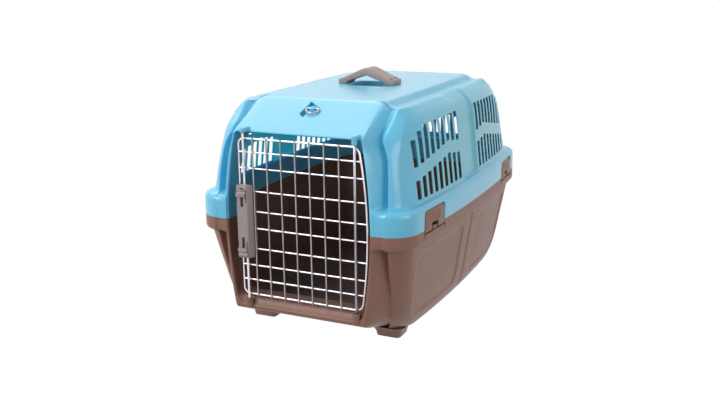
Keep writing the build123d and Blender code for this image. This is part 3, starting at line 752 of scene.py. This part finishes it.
def openingLoop(low, high, grow, depthAt):
    # Closed outline of the opening at one depth behind the leaning front.
    corner, topCorner = opening["corner"] + grow, opening["topCorner"] + grow
    right = bulgingSide(low - grow, high + grow, corner, topCorner, grow, 24)
    return [(x, depthAt(z), z) for x, z in right + [(-x, z) for x, z in right[::-1]]]


def openingCutter(name, front, lows, back, rim):
    # Opening with a rounded mouth: front gives the surface's y, lows the bottom edge by depth.
    def loop(depth, grow, level=None):
        at = (lambda z: level) if level is not None else (lambda z: front(z) + depth)
        return openingLoop(lows(depth), opening["top"], grow, at)

    loops = [loop(0, rim + 0.5, opening["ahead"])]
    for i in range(7):
        angle = math.radians(90 * i / 6)
        loops.append(loop(rim * (1 - math.cos(angle)), rim * (1 - math.sin(angle))))
    loops += [loop(depth, 0.0) for depth in (rim + 2.0, rim + 4.5, rim + 7.0, 24.0)]
    return closedSkin(name, loops + [loop(30, 0.0, back)])


# Hood, cut and finished
vents = {
    "count": 9, "pitch": 15.9, "width": 10.2, "first": 169.0, "bottom": 189.5, "lowTop": 213.0,
    "rise": 2.8, "fall": 2.3, "peak": 6, "gap": 16.0, "frontTop": 262.0, "step": 9.0, "topLimit": 276.0,
    "corner": 1.3,
}
rearVents = {
    "count": 9, "pitch": 15.5, "width": 9.0, "y": 222.0, "bottom": 197.5, "peak": 234.0, "fall": 0.19,
    "hollow": ((-77, 196, 191), (77, 224.2, 243)),
}
hoodInside = {
    "front": 203.0, "rear": 205.0, "low": 150.0, "roof": 301.0, "wall": 0.9, "openingBack": -190.0,
    "corner": 20.0, "bend": (280, 290), "bendIn": 2.0, "roofFrom": 293, "roofHalf": 84.0, "endWall": 4.5,
    "detailTop": 297.0, "profileTop": 300,
}
wellShape = {"halfX": 31.0, "halfY": 26.0, "depth": 14.0, "corner": 10.0}
visor = {"slope": 27.1, "y": -178.5, "z": 293.0, "depth": 6.0,
         "pocket": [(-10, 17), (-15, -10), (-7, -16), (-3, -6), (9, -5), (8, 5), (2, 9)]}


def ventPoints():
    # Two rows of slots in each side panel, under stepped lines.
    points, heights = [], []
    v = vents
    for i in range(v["count"]):
        y = v["first"] - i * v["pitch"]
        lowTop = v["lowTop"] + v["rise"] * min(i, v["peak"]) - v["fall"] * max(i - v["peak"], 0)
        highBottom = lowTop + v["gap"]
        highTop = min(v["frontTop"] + v["step"] * i, v["topLimit"] + 0.35 * i)
        for low, high in ((v["bottom"], lowTop), (highBottom, highTop)):
            for side in (-1, 1):
                points.append((0.0, side * y, (low + high) / 2))
                heights.append(high - low)
    return points, heights


def slotCutter(name, points, heights, alongY, alongX):
    cutter = pointCloud(name, points, height=heights)
    runGroup(cutter, slotGroup, {"Slot Width": alongY, "Span": alongX, "Material": bluePlastic})
    return bevelled(cutter, vents["corner"], 2, 60)


def rearPoints():
    # Upright slots in the rear wall, under a line that falls from the middle to both sides.
    v = rearVents
    points, heights = [], []
    for i in range(v["count"]):
        x = (i - (v["count"] - 1) / 2) * v["pitch"]
        high = v["peak"] - v["fall"] * abs(x)
        points.append((x, v["y"], (v["bottom"] + high) / 2))
        heights.append(high - v["bottom"])
    return points, heights


def makeHoodCavity():
    s = hoodInside
    levels = [s["low"], 155, 170, 186, hoodShape["foot"]] + list(np.linspace(200, 288, 16))
    fronts, rears = [], []
    for z in levels + [290.5, 292.5, 293.5, 299, s["roof"]]:
        level = min(max(z, hoodShape["foot"]), s["profileTop"])
        half = hoodHalf(level) - s["wall"] - s["bendIn"] * smoothStep(*s["bend"], z)
        if z > s["roofFrom"]:
            half = min(half, s["roofHalf"])
        for store, limit in ((fronts, s["front"]), (rears, s["rear"])):
            front = min(limit, hoodValley(level) - s["endWall"])
            ridge = (min(ridgeX(level) - 3.0, half - 2.0), -min(ridgeY(level) - 4.0, front - 6.0))
            bow = hoodBow(level) * (front / hoodColumn(level)) ** 2
            plan = quarterPlan(half, front, front, front, bow, s["corner"], insideEdges, insideCounts, ridge)
            store.append([hoodDetail(x, y, min(z, s["detailTop"]))[:2] + (z,) for x, y in plan])
    return closedSkin("hoodCavity", fullLoops(fronts, rears))


def visorPoint(u, v, w):
    # Point given along the visor's width, up its slope and out of it.
    a = math.radians(visor["slope"])
    return (u, visor["y"] + v * math.cos(a) - w * math.sin(a), visor["z"] + v * math.sin(a) + w * math.cos(a))


def visorPrism(name, outline, low, high):
    return extruded(name, *([visorPoint(u, v, w) for u, v in outline] for w in (low, high)))


def grown(outline, by):
    # Outline pushed out from its centre by a distance.
    cx = sum(p[0] for p in outline) / len(outline)
    cy = sum(p[1] for p in outline) / len(outline)
    out = []
    for x, y in outline:
        length = math.hypot(x - cx, y - cy)
        out.append((x + (x - cx) * by / length, y + (y - cy) * by / length))
    return out


def prismTower(name, outline, levels):
    # Upright body with its outline shrunk by an amount at each level, for soft rims.
    return closedSkin(name, [[(x, y, z) for x, y in grown(outline, -shrink)] for z, shrink in levels])


clip = {
    "fromMiddle": 170.0, "along": 18.0, "face": 151.2245, "turn": 4.227, "half": 28.5, "top": 178.2,
    "round": 4.2, "plate": 4.5, "cheek": 3.0, "axisX": -2.7, "axisZ": 152.5, "barrel": 2.7, "pin": 1.2,
    "bore": 1.25, "window": 9.0, "windowTop": 160.0, "lug": 5.6, "hookHalf": 12.0, "ledgeTop": 170.0,
    "ledgeHalf": 14.0, "ledgeDeep": 7, "notchHalf": 30.2, "notchIn": -8.5, "notchOut": 12,
    "notchLow": 149.2, "notchHigh": 178.8, "notchRound": 5.0, "slitLow": 144.0, "grooveLow": 162.6,
    "groovePitch": 2.4, "grooves": 5, "grooveReach": 15.0, "grooveRadius": 0.7,
}


def atClip(piece, sx, sy):
    # Move a body built at the origin, X outward and Y along the belt, to one clip's place.
    turn = math.radians(-clip["turn"])
    mesh = piece.data
    for vertex in mesh.vertices:
        x, y, z = (c / mm for c in vertex.co)
        y += clip["along"] - planShift
        wide = clip["face"] + x * math.cos(turn) - y * math.sin(turn)
        long = -clip["fromMiddle"] + x * math.sin(turn) + y * math.cos(turn)
        vertex.co = (sx * wide * mm, (-sy * long + planShift) * mm, z * mm)
    mesh.update()
    return mended(piece, merge)


def atClips(name, make):
    # One body at every clip's place, as one object.
    return joined(name, [atClip(make(), sx, sy) for sx, sy in quarters])


def cornerArc(half, top, radius, side):
    # Points round one upper corner, from its outer end to its top.
    return [(side * y, z) for y, z in arc(half - radius, top - radius, radius, 0, 90, 6)]


def notchCutter(low, high, radius):
    half = clip["notchHalf"]
    upper = cornerArc(half, high, radius, 1) + cornerArc(half, high, radius, -1)[::-1]
    outline = [(half, low)] + upper + [(-half, low)]
    return atClips("notches", lambda: prism("notch", outline, "x", clip["notchIn"], clip["notchOut"]))


def makeSlits():
    # Narrow slits that run down from both ends of a notch.
    c, slits = clip, []
    low, high = c["slitLow"], c["notchLow"] + 2
    for side in (-1, 1):
        near, far = sorted((side * (c["half"] - 0.2), side * (c["notchHalf"] - 0.1)))
        slits.append(block("slit", (c["notchIn"] + 0.4, near, low), (c["notchOut"], far, high)))
    return joined("slits", slits)


def makeLedge():
    c = clip
    return block("ledge", (-12, -c["ledgeHalf"], c["ledgeTop"] - c["ledgeDeep"]),
                 (-4.8, c["ledgeHalf"], c["ledgeTop"]), 0.5)


bosses = {
    "latchX": -71.0, "boltY": -230.1, "hingeX": 80.2, "rodY": -228.65, "radius": 3.7, "high": 274.5,
    "root": -218.0, "boltHole": 1.9, "rodHole": 1.65, "lintel": 268.3, "skirtLow": 263.0, "holeTop": 273.5,
}


def addLintelBoss(body, x, y, low, hole):
    # Socket on the lintel for a bolt or the hinge rod, rooted in the visor.
    b = bosses
    r = b["radius"]
    outline = [(x + r, b["root"]), (x - r, b["root"])] + arc(x, y, r, 180, 180, 16)
    fuse(body, bevelled(prism("boss", outline, "z", b["lintel"], b["high"]), 1.1, 3))
    if low < b["lintel"]:
        rings = [(0, 2.9), (0.5, r - 0.45), (1.2, r - 0.2), (9.0, r - 0.2)]
        fuse(body, tube("skirt", (x, y, low), (x, y, b["high"]), rings, 26))
    cut(body, bore(x, y, 255, b["holeTop"], hole))


def visorEye():
    # Moulded eye in the pocket that the loop turns in.
    half, high = 2.7, 1.5
    outline = [(-half, -7.0), (half, -7.0)] + arc(0, high, half, 0, 180, 12)
    ends = ([visorPoint(u, v, w) for v, w in outline] for u in (-2.0, 4.0))
    return bevelled(extruded("eye", *ends), 0.4, 2)


def hoodFront(z):
    return -min(hoodBand(max(z, hoodShape["foot"])), bandLimit)


def makeHood():
    body = makeHoodSkin()
    w, b, wall, roof = wellShape, bosses, cabin["wall"], cabin["roof"]
    bottom = roof - w["depth"]
    cavity = makeHoodCavity()
    cup = roundedBox(0, 0, w["halfX"] + wall, w["halfY"] + wall, w["corner"] + wall)
    cut(cavity, prism("wellCup", cup, "z", bottom - wall, 320))
    cut(cavity, visorPrism("pocketCup", grown(visor["pocket"], wall), -visor["depth"] - wall, 10))
    cut(body, cavity)
    cut(body, openingCutter("openingCut", hoodFront, lambda depth: 100.0, hoodInside["openingBack"], 2.4))
    well = roundedBox(0, 0, w["halfX"], w["halfY"], w["corner"], 7)
    rims = [(bottom, 1.6), (bottom + 1.6, 0.0), (roof - 2.0, 0.0), (roof - 1.0, -0.3), (roof, -1.4),
            (roof + 8, -1.4)]
    cut(body, prismTower("well", well, rims))
    cut(body, bevelled(visorPrism("pocket", visor["pocket"], -visor["depth"], 12), 0.9, 2, 25))
    cut(body, slotCutter("ventCutter", *ventPoints(), vents["width"] * mm, 0.4))
    cut(body, block("rearHollow", *rearVents["hollow"], 5.0))
    cut(body, slotCutter("rearCutter", *rearPoints(), 0.07, rearVents["width"] * mm))
    cut(body, notchCutter(140.0, clip["notchHigh"], clip["notchRound"]))
    fuse(body, atClips("ledges", makeLedge))
    addLintelBoss(body, b["latchX"], b["boltY"], b["lintel"], b["boltHole"])
    addLintelBoss(body, b["hingeX"], b["rodY"], b["skirtLow"], b["rodHole"])
    fuse(body, visorEye())
    body.name = "upper_hood"
    return place(body, "cabin", "blue_plastic", "upper_shell")


hood = makeHood()
print("hood", len(hood.data.polygons))


# Tray
trayShape = {
    "rim": 136, "panelDepth": 1.6, "panelRamp": 4.0, "panelLow": 34.0, "panelHigh": 124.0,
    "panelNear": 27.0, "panelFar": 182.0, "panelCorner": 16.0, "crease": 1.8, "creaseHalf": 5.0,
    "creaseLow": (18, 30), "detailTop": 135, "detailOut": 100, "panelLean": 0.14,
}
sill = {"lip": 44.6, "rise": 8.4, "start": 0.5, "run": 9.0, "surfaceLow": 43}
sillSocket = {
    "low": 44, "high": 60, "holeLow": 47.5, "holeHigh": 59.5, "boltTop": 53.0, "rodTop": 54.0,
    "rings": [(0, 5.0), (3.4, 5.0), (3.8, 4.3), (4.5, 4.3), (4.9, 4.9), (7.4, 4.9), (7.8, 4.2), (8.3, 4.2),
              (8.6, 4.8)],
}
foot = {
    "x": 92.0, "y": 146.8, "halfX": 16.5, "halfY": 14.8, "corner": 5.0,
    "levels": [(0.0, -1.2, 0.0), (0.5, -0.3, 0.0), (1.6, 0.0, 0.0), (6.0, 1.0, 0.0), (9.5, 3.2, 1.0),
               (12.5, 7.0, 2.0), (14.6, 9.0, 2.4)],
}
trayHalf = curveThrough([
    (12, 115.0), (12.6, 118.6), (14, 121.6), (18, 126.2), (25, 130.6), (40, 135.2), (90, 143.6),
    (136, 151.0),
])
trayColumn = curveThrough([(12, 160), (14, 166), (20, 176), (30, 189), (45, 201), (80, 211), (136, 223)])
trayValley = curveThrough([(12, 153), (14, 157), (20, 167), (30, 182), (40, 193), (60, 201), (136, 213)])
trayBand = curveThrough([
    (12, 164), (16, 172), (36, 224), (38.5, 228.4), (41, 229.6), (45, 229.9), (136, 229.2),
])
trayRearBand = curveThrough([(12, 161), (16, 168), (26, 186), (34, 201), (40, 207), (50, 214), (136, 227)])
trayBow = curveThrough([(12, 5.5), (20, 7.0), (40, 9.0), (136, 11.5)])
trayCorner = curveThrough([(12, 30), (20, 36), (40, 38), (80, 36), (136, 33)])
trayBandEdge = curveThrough([(12, 78), (30, 88), (45, 92), (80, 96.5), (136, 100)])
trayValleyEdge = curveThrough([(12, 90), (30, 104), (50, 110), (80, 113), (136, 115)])
trayColumnEdge = curveThrough([(12, 93), (30, 107.5), (50, 113.5), (80, 117), (136, 119)])
trayLip = curveThrough([
    (136, 1.0), (136.5, 0.78), (137, 0.45), (137.6, 0.25), (138.6, 0.1), (140, 0.02), (141.5, 0.0),
    (154.5, 0.0), (155, 0.006),
])


def trayQuarter(z, rear):
    edges = (trayBandEdge(z), trayValleyEdge(z), trayColumnEdge(z))
    low = min(z, trayShape["rim"])
    band = trayRearBand(low) if rear else trayBand(low)
    wall = quarterPlan(trayHalf(low), trayColumn(low), band, trayValley(low), trayBow(low), trayCorner(low),
                       edges, planCounts)
    return wall if z <= trayShape["rim"] else towardsBelt(wall, trayLip(z), 2.0, edges)


def trayDetail(x, y, z):
    # Sunk side panels with round corners and the crease between them.
    c = trayShape
    ax, ay = abs(x), abs(y)
    if z < c["detailTop"] and ax > c["detailOut"]:
        far = c["panelFar"] - (c["panelHigh"] - z) * c["panelLean"]
        midY, midZ = (far + c["panelNear"]) / 2, (c["panelHigh"] + c["panelLow"]) / 2
        halfY, halfZ = (far - c["panelNear"]) / 2, (c["panelHigh"] - c["panelLow"]) / 2
        r = c["panelCorner"]
        dy, dz = abs(ay - midY) - halfY + r, abs(z - midZ) - halfZ + r
        outside = math.hypot(max(dy, 0), max(dz, 0)) + min(max(dy, dz), 0) - r
        depth = c["panelDepth"] * (1 - smoothStep(-c["panelRamp"], 0, outside))
        depth += c["crease"] * max(0.0, 1 - ay / c["creaseHalf"]) * smoothStep(*c["creaseLow"], z)
        x -= math.copysign(depth, x)
    return x, y, z


def trayLevels():
    low = [12, 12.2, 12.6, 13.2, 14, 15.2, 17, 19.5, 22.5, 26, 29.5, 32.5, 34.5, 36, 37.3, 38.5, 39.6, 41]
    wall = list(np.linspace(48, 135, 34)) + [136, 136.4, 136.8, 137.2, 137.7, 138.3, 139.2, 140.3, 141.5]
    return low + [43, 45] + wall + [148, 154.5, 155]


trayInside = {
    "front": 203.0, "rear": 207.0, "endWall": 3.5, "sink": 1.5, "lowest": 12.5, "softTo": 16, "soft": 1.2,
}


def makeTrayCavity():
    s, wall = trayInside, cabin["wall"]
    fronts, rears = [], []
    for z in [cabin["floor"] + 3, 15.8, 17.5, 20, 24, 30] + list(np.linspace(36, 136, 14)) + [150, 160]:
        low = min(max(z - s["sink"], s["lowest"]), trayShape["rim"])
        half = trayHalf(low) - wall - (s["soft"] if z < s["softTo"] else 0.0)
        valley = trayValley(low) - s["endWall"]
        rear = min(s["rear"], valley, trayRearBand(low) - s["endWall"])
        for store, front in ((fronts, min(s["front"], valley)), (rears, rear)):
            plan = quarterPlan(half, front, front, front, trayBow(low), trayCorner(low) - wall, insideEdges,
                               insideCounts)
            store.append([trayDetail(x, y, z)[:2] + (z,) for x, y in plan])
    return closedSkin("trayCavity", fullLoops(fronts, rears))


def trayFront(z):
    return -min(trayBand(min(max(z, sill["surfaceLow"]), trayShape["rim"])), bandLimit)


def sillHigh(depth):
    # The sill rises behind its lip.
    return sill["lip"] + sill["rise"] * smoothStep(0.0, 1.0, (depth - sill["start"]) / sill["run"])


def makeTray():
    fronts, rears = ([[trayDetail(x, y, z) for x, y in trayQuarter(z, rear)] for z in trayLevels()]
                     for rear in (False, True))
    body = closedSkin("lower_tray", fullLoops(fronts, rears))
    cut(body, makeTrayCavity())
    cut(body, openingCutter("trayOpening", trayFront, sillHigh, hoodInside["openingBack"], 2.0))
    fuse(body, joined("feet", [makeFoot(sx, sy) for sx, sy in quarters]))
    cut(body, notchCutter(clip["notchLow"], 168.0, 4.0))
    cut(body, atClips("slits", makeSlits))
    fuse(body, atClips("lugs", makeLug))
    b, s = bosses, sillSocket
    for x, y, top, hole in ((b["latchX"], b["boltY"], s["boltTop"], b["boltHole"]),
                            (b["hingeX"], b["rodY"], s["rodTop"], b["rodHole"])):
        rings = s["rings"] + [(top - sill["lip"], 4.8), (top - s["low"], 4.2)]
        fuse(body, tube("socket", (x, y, s["low"]), (x, y, s["high"]), rings))
        cut(body, bore(x, y, s["holeLow"], s["holeHigh"], hole))
    return place(body, "cabin", "taupe_plastic", "lower_shell")


def makeFoot(sx, sy):
    # Short foot that flares up into the tray's corner: levels give height, growth and shift inwards.
    f, loops = foot, []
    for z, grow, shift in f["levels"]:
        plan = roundedBox(f["x"] - shift, f["y"] - shift, f["halfX"] + grow, f["halfY"] + grow,
                          f["corner"] + max(grow, -1.0), 6)
        loops.append([(sx * x, sy * y, z) for x, y in plan])
    return closedSkin("foot", loops)


def makeLug():
    # Ear in the tray's notch that holds the clip's pin.
    c = clip
    x, z, r, back = c["axisX"], c["axisZ"], c["barrel"], c["notchIn"] - 1
    low = c["notchLow"] - 1
    outline = [(back, low), (x + 0.6, low), (x + r * 0.95, z - 0.9)] + arc(x, z, r, -10, 135, 9)
    return bevelled(prism("lug", outline + [(back, 154.7)], "y", -c["lug"], c["lug"]), 0.3, 2)


tray = makeTray()
print("tray", len(tray.data.polygons))


# Door wires
door = {
    "wireY": -226.0, "cross": 1.15, "uprightY": -228.15, "upright": 1.0, "contour": 1.3, "left": -80.0,
    "low": 58.2, "high": 260.5, "corner": 8.0, "gap": 3.5, "pitch": 19.7, "count": 7, "weld": 1.25,
    "rodLow": 50.0, "rodHigh": 270.0, "rod": 1.55,
    "heights": [77.7, 97.2, 119.6, 146.0, 168.0, 194.0, 223.2, 243.5],
}


def contourPath():
    # Outline of the door with round corners, bulging on the hinge side.
    d = door
    r = d["corner"]
    path = arc(d["left"] + r, d["low"] + r, r, 180, 90, 8)
    path += [(float(x), d["low"]) for x in range(-60, 75, 15)]
    path += bulgingSide(d["low"], d["high"], r, r, -d["gap"], 30)
    path += [(float(x), d["high"]) for x in range(60, -75, -15)]
    path += arc(d["left"] + r, d["high"] - r, r, 90, 90, 8)
    return [(x, d["wireY"], z) for x, z in path]


def barsAt(name, starts, reaches, radius):
    cloud = pointCloud(name, starts, reach=reaches)
    return runGroup(cloud, barGroup, {"Radius": radius * mm, "Sides": 12, "Material": doorSteel})


def makeDoorWires():
    # Cross wires and the contour wire in one plane; uprights, welds and the hinge rod before it.
    d, b = door, bosses
    wireY, weldY = d["wireY"], d["uprightY"] + 1.0
    columns = [(i - (d["count"] - 1) / 2) * d["pitch"] for i in range(d["count"])]
    crossings, crossReach, welds = [], [], []
    for z in d["heights"]:
        right = openingHalf(z) - d["gap"]
        crossings.append((d["left"] + 0.3, wireY, z))
        crossReach.append((right - d["left"] - 0.6, 0.0, 0.0))
        welds += [(d["left"], wireY, z), (right, wireY, z)] + [(x, weldY, z) for x in columns]
        welds.append((b["hingeX"], wireY - 1.3, z))
    for x in columns:
        welds += [(x, weldY, d["low"]), (x, weldY, d["high"])]
    uprights = [(x, d["uprightY"], d["low"] - 1.5) for x in columns]
    uprightReach = [(0.0, 0.0, d["high"] - d["low"] + 3.0)] * len(columns)
    first = barsAt("crossWires", crossings, crossReach, d["cross"])
    second = barsAt("uprightWires", uprights, uprightReach, d["upright"])
    nubs = runGroup(pointCloud("welds", welds), nubGroup,
                    {"Radius": d["weld"] * mm, "Seed": 7, "Material": doorSteel})
    rim = wireLoop("rim", contourPath(), d["contour"])
    long = d["rodHigh"] - d["rodLow"]
    rod = tube("rod", (b["hingeX"], b["rodY"], d["rodLow"]), (b["hingeX"], b["rodY"], d["rodHigh"]),
               [(0.0, 1.1), (0.5, d["rod"]), (long - 0.5, d["rod"]), (long, 1.1)], 18)
    behind = mended(joined("cross_bars", [first, rim]), merge)
    before = mended(joined("upright_bars", [second, nubs, rod]), merge)
    place(behind, "door", "door_steel", "door_outer_wire", "door_cross_wires", degrees=50)
    # The uprights, welds and rod wear the darker steel copy, which paints shade on them.
    place(before, "door", "door_steel", "door_upright_wires", "door_hinge_rod", finish=shadedSteel, degrees=50)
    return behind, before


crossBars, uprightBars = makeDoorWires()
print("door", len(crossBars.data.polygons) + len(uprightBars.data.polygons))


# Latch
latch = {
    "x": -71.0, "low": 109.5, "high": 202.5, "back": -229.4, "front": -238.9, "backHalf": 11.0,
    "frontHalf": 7.3, "lip": -230.9, "channelHalf": 4.5, "channelFront": -233.4, "channelBack": -227.5,
    "wall": 2.0, "block": 5.5, "boltHole": 1.65,
    "gripHalf": 1.6, "gripLength": 7.5, "gripFront": -242.9, "sliderLength": 20.0, "travel": 3.5, "gap": 0.3,
    "plateFront": -224.6, "plateBack": -222.1, "post": 2.8, "spread": 5.5,
}


def latchMirror(piece):
    # The same body mirrored about the latch's middle height.
    middle = (latch["low"] + latch["high"]) / 2 * mm
    twin = bpy.data.objects.new(piece.name + "Twin", piece.data.copy())
    bpy.context.scene.collection.objects.link(twin)
    for vertex in twin.data.vertices:
        vertex.co.z = 2 * middle - vertex.co.z
    return mended(twin, merge)


def makeLatchCase():
    k, x, y = latch, latch["x"], bosses["boltY"]
    low, high, front, back = k["low"], k["high"], k["front"], k["back"]
    middle = (low + high) / 2
    right = [(k["frontHalf"], front), (k["backHalf"], k["lip"]), (k["backHalf"], back)]
    outline = [(x - dx, dy) for dx, dy in right[::-1]] + [(x + dx, dy) for dx, dy in right]
    body = bevelled(prism("latch_case", outline, "z", low, high), 1.6, 4, 20)
    inner = k["channelHalf"] + k["wall"]
    fuse(body, block("spine", (x - inner, back - 1, low), (x + inner, k["channelBack"], high), 0.4))
    tools = [
        block("channel", (x - k["channelHalf"], k["channelFront"], middle + k["block"]),
              (x + k["channelHalf"], k["channelBack"] + 1, high - k["wall"])),
        block("slot", (x - 2.0, front - 1, high - 26.5), (x + 2.0, k["channelFront"] + 1, high - 2.6), 0.5),
        bore(x, y, high - 4, high + 1, k["boltHole"]),
        block("sideNotch", (x - 9.4, front - 1, high - 22.0), (x - 6.3, front + 3.4, high - 15.0), 0.4),
        block("groove", (x + 4.9, front - 1, high - 21.5), (x + 6.1, front + 2.4, high - 13.0), 0.3),
    ]
    for tool in tools:
        cut(body, latchMirror(tool))
        cut(body, tool)
    spot, z = x + 0.5, low + 26.0
    cut(body, tube("dimple", (spot, front - 1, z), (spot, front + 1.6, z), [(0, 1.5), (2.6, 1.0)], 16))
    z = high - 38.5
    rings = [(0, 0.3), (0.4, 0.8), (8.4, 0.8), (8.8, 0.3)]
    fuse(body, tube("ridge", (x - 4.4, front + 0.3, z), (x + 4.4, front + 0.3, z), rings, 12))
    plate = roundedBox(x, middle, k["backHalf"], (high - low) / 2 - k["wall"], 4.0, 6)
    rear = bevelled(prism("backPlate", plate, "y", k["plateFront"], k["plateBack"]), 0.5, 2, 50)
    for side in (-1, 1):
        spot = x + side * k["spread"]
        post = tube("post", (spot, back - 1, middle), (spot, k["plateFront"] + 0.5, middle),
                    [(0, k["post"]), (5.8, k["post"])])
        fuse(rear, post)
    case = joined("latch_case", [body, rear])
    return place(case, "door", "latch_plastic", "latch_housing", "latch_back_plate")


def makeLatchGrip():
    # Slider at rest with its scooped finger grip.
    k, x, gripFront = latch, latch["x"], latch["gripFront"]
    high = k["high"] - k["wall"] - k["travel"] - k["gap"]
    low, capHalf = high - k["gripLength"], 6.4
    body = block("upper_latch_grip", (x - 4.2, k["channelFront"] + k["gap"], high - k["sliderLength"]),
                 (x + 4.2, k["channelBack"] - k["gap"], high), 0.3)
    stem = block("stem", (x - k["gripHalf"], gripFront + 2.0, low + 0.5),
                 (x + k["gripHalf"], k["channelFront"] + 1.1, high - 0.5))
    cap = block("cap", (x - capHalf, gripFront, low), (x + capHalf, k["front"] - 0.4, high + 2.0), 0.9)
    y, z = gripFront - 0.5, high - 0.9
    cut(cap, tube("scoop", (x - 7.5, y, z), (x + 7.5, y, z), [(0, 3.2), (7.5, 2.2), (15, 3.2)], 20))
    fuse(stem, cap)
    fuse(body, stem)
    return cut(body, bore(x, bosses["boltY"], high - 8, high + 2, 1.6))


latchCase = makeLatchCase()
upperGrip = makeLatchGrip()
lowerGrip = latchMirror(upperGrip)
lowerGrip.name = "lower_latch_grip"
place(upperGrip, "upper_latch", "latch_plastic", "upper_latch_slider")
place(lowerGrip, "lower_latch", "latch_plastic", "lower_latch_slider")
print("latch", len(latchCase.data.polygons))


# Side clips
def makeClip():
    # Plate with a rounded top, cheeks, a hook behind, grip grooves and hinge knuckles.
    c = clip
    top, half, x, z, r = c["top"], c["half"], c["axisX"], c["axisZ"], c["barrel"]
    slope = [(-7.6, 2.6), (-7.6, 1.4), (-6.9, 0.4), (-5.4, 0), (-3.6, 0.3), (-1.9, 1.8), (-0.7, 4.4),
             (-0.1, 7.4), (0.0, 9.5)]
    skin = [(-c["plate"], z), (-c["plate"], top - 3.4)]
    skin += [(dx, top - drop) for dx, drop in slope] + [(0.0, z)]
    body = bevelled(prism("clip", skin, "y", -half, half), 0.5, 2, 60)
    cheekLow, cheekTop = 158.5, top - 2.5
    for side in (-1, 1):
        low, high = sorted((side * (half - 0.1), side * (half - c["cheek"])))
        cheek = [(-6.0, cheekLow), (-6.0, cheekTop), (-1.5, cheekTop), (-1.0, cheekLow)]
        fuse(body, prism("cheek", cheek, "y", low, high))
    low, high = c["ledgeTop"] + 0.5, top - 1.6
    hook = [(-7.2, low), (-3.5, low), (-3.5, high), (-7.2, high)]
    fuse(body, prism("hook", hook, "y", -c["hookHalf"], c["hookHalf"]))
    rings = [(0, r - 0.4), (0.5, r - 0.02), (2 * half - 0.7, r - 0.02), (2 * half - 0.2, r - 0.4)]
    fuse(body, tube("knuckle", (x, -half + 0.1, z), (x, half - 0.1, z), rings, 24))
    cut(body, block("window", (-14, -c["window"], 140), (14, c["window"], c["windowTop"]), 0.4))
    cut(body, tube("bore", (x, -40, z), (x, 40, z), [(0, c["bore"]), (80, c["bore"])], 20))
    grooves = []
    for i in range(c["grooves"]):
        level, reach = c["grooveLow"] + c["groovePitch"] * i, c["grooveReach"] - 1.6 * abs(i - 2)
        rings = [(0, c["grooveRadius"]), (2 * reach, c["grooveRadius"])]
        grooves.append(tube("groove", (0.15, -reach, level), (0.15, reach, level), rings, 10))
    cut(body, joined("grooves", grooves))
    for side in (-1, 1):
        inside, outside = side * (half - c["round"]), side * (half + 2)
        outline = cornerArc(half, top, c["round"], side)
        outline += [(inside, top + 2), (outside, top + 2), (outside, top - c["round"])]
        cut(body, prism("corner", outline, "x", -14, 6))
    low, high = top - 5.7, top - 5.1
    pinch = [(-0.6, low), (3.0, low), (3.0, high), (-0.6, high)]
    return cut(body, prism("pinch", pinch, "y", -half - 1, half + 1))


for label, sx, sy in (("front_right", 1, -1), ("rear_right", 1, 1), ("front_left", -1, -1),
                      ("rear_left", -1, 1)):
    lever = atClip(makeClip(), sx, sy)
    lever.name = label + "_lever"
    place(lever, label + "_clip", "taupe_plastic", label + "_clip")


def makePin():
    c = clip
    reach, r = c["half"] - 0.6, c["pin"]
    rings = [(0, r - 0.3), (0.4, r), (2 * reach - 0.4, r), (2 * reach, r - 0.3)]
    return tube("pin", (c["axisX"], -reach, c["axisZ"]), (c["axisX"], reach, c["axisZ"]), rings, 20)


# Steel pins through the knuckles and the tray's ears, all fixed to the tray.
place(atClips("lever_pins", makePin), "cabin", "screw_steel", "clip_pins")
print("clips ready")


# Carrying handle
handle = {
    "shift": -4.0, "half": 42.0, "depth": 15.0, "block": 12.0, "wing": 311.0, "peak": 326.5, "base": 304.0,
    "under": 26.0, "underZ": 308.0, "middleZ": 316.5, "screwX": 36.0, "screwY": 7.5, "wellLow": 307.0,
    "screwLow": 295.0, "recess": 308.6,
}
screwSpots = [(sx * handle["screwX"] + handle["shift"], sy * handle["screwY"]) for sx, sy in quarters]


def makeHandle():
    # Chevron grip with softened edges and two screw wells at each end.
    h = handle
    half, base, peak, inner = h["half"], h["base"], h["peak"], h["half"] - h["block"]
    right = [(half, base), (half, h["wing"] - 0.6), (half - 10.0, h["wing"] + 2.6), (7.0, peak - 1.6),
             (3.0, peak - 0.3), (0.0, peak)]
    under = [(inner, base), (inner - 1.0, base + 2.6), (h["under"], h["underZ"]), (4.0, h["middleZ"] - 1.0)]
    outline = right + [(-x, z) for x, z in right[-2::-1] + under] + [(0.0, h["middleZ"])] + under[::-1]
    outline = [(x + h["shift"], z) for x, z in outline]
    piece = bevelled(prism("carry_handle", outline, "y", -h["depth"], h["depth"]), 1.5, 4, 50)
    for x, y in screwSpots:
        cut(piece, bore(x, y, h["wellLow"], 327.0, 3.3))
        cut(piece, bore(x, y, 300.0, 310.0, 2.0))
    place(piece, "cabin", "taupe_plastic", "handle", finish=palePlastic, degrees=40)


def makeScrews():
    # Pan-head screws with a cross recess in the handle's wells.
    low, parts = handle["screwLow"], []
    rings = [(0, 1.0), (0.8, 1.9), (11.98, 1.9), (12.0, 3.1), (13.6, 3.1), (14.6, 2.5), (14.95, 1.6)]
    for x, y in screwSpots:
        head = tube("screw", (x, y, low), (x, y, low + 15), rings)
        for turn in (25, 115):
            dx, dy = math.cos(math.radians(turn)), math.sin(math.radians(turn))
            flat = ((-1.9, -0.4), (1.9, -0.4), (1.9, 0.4), (-1.9, 0.4))
            arm = [(x + dx * a - dy * b, y + dy * a + dx * b) for a, b in flat]
            cut(head, prism("recess", arm, "z", handle["recess"], 312.0))
        parts.append(head)
    place(joined("handle_fixings", parts), "cabin", "screw_steel", "handle_screws")


makeHandle()
makeScrews()
print("handle ready")
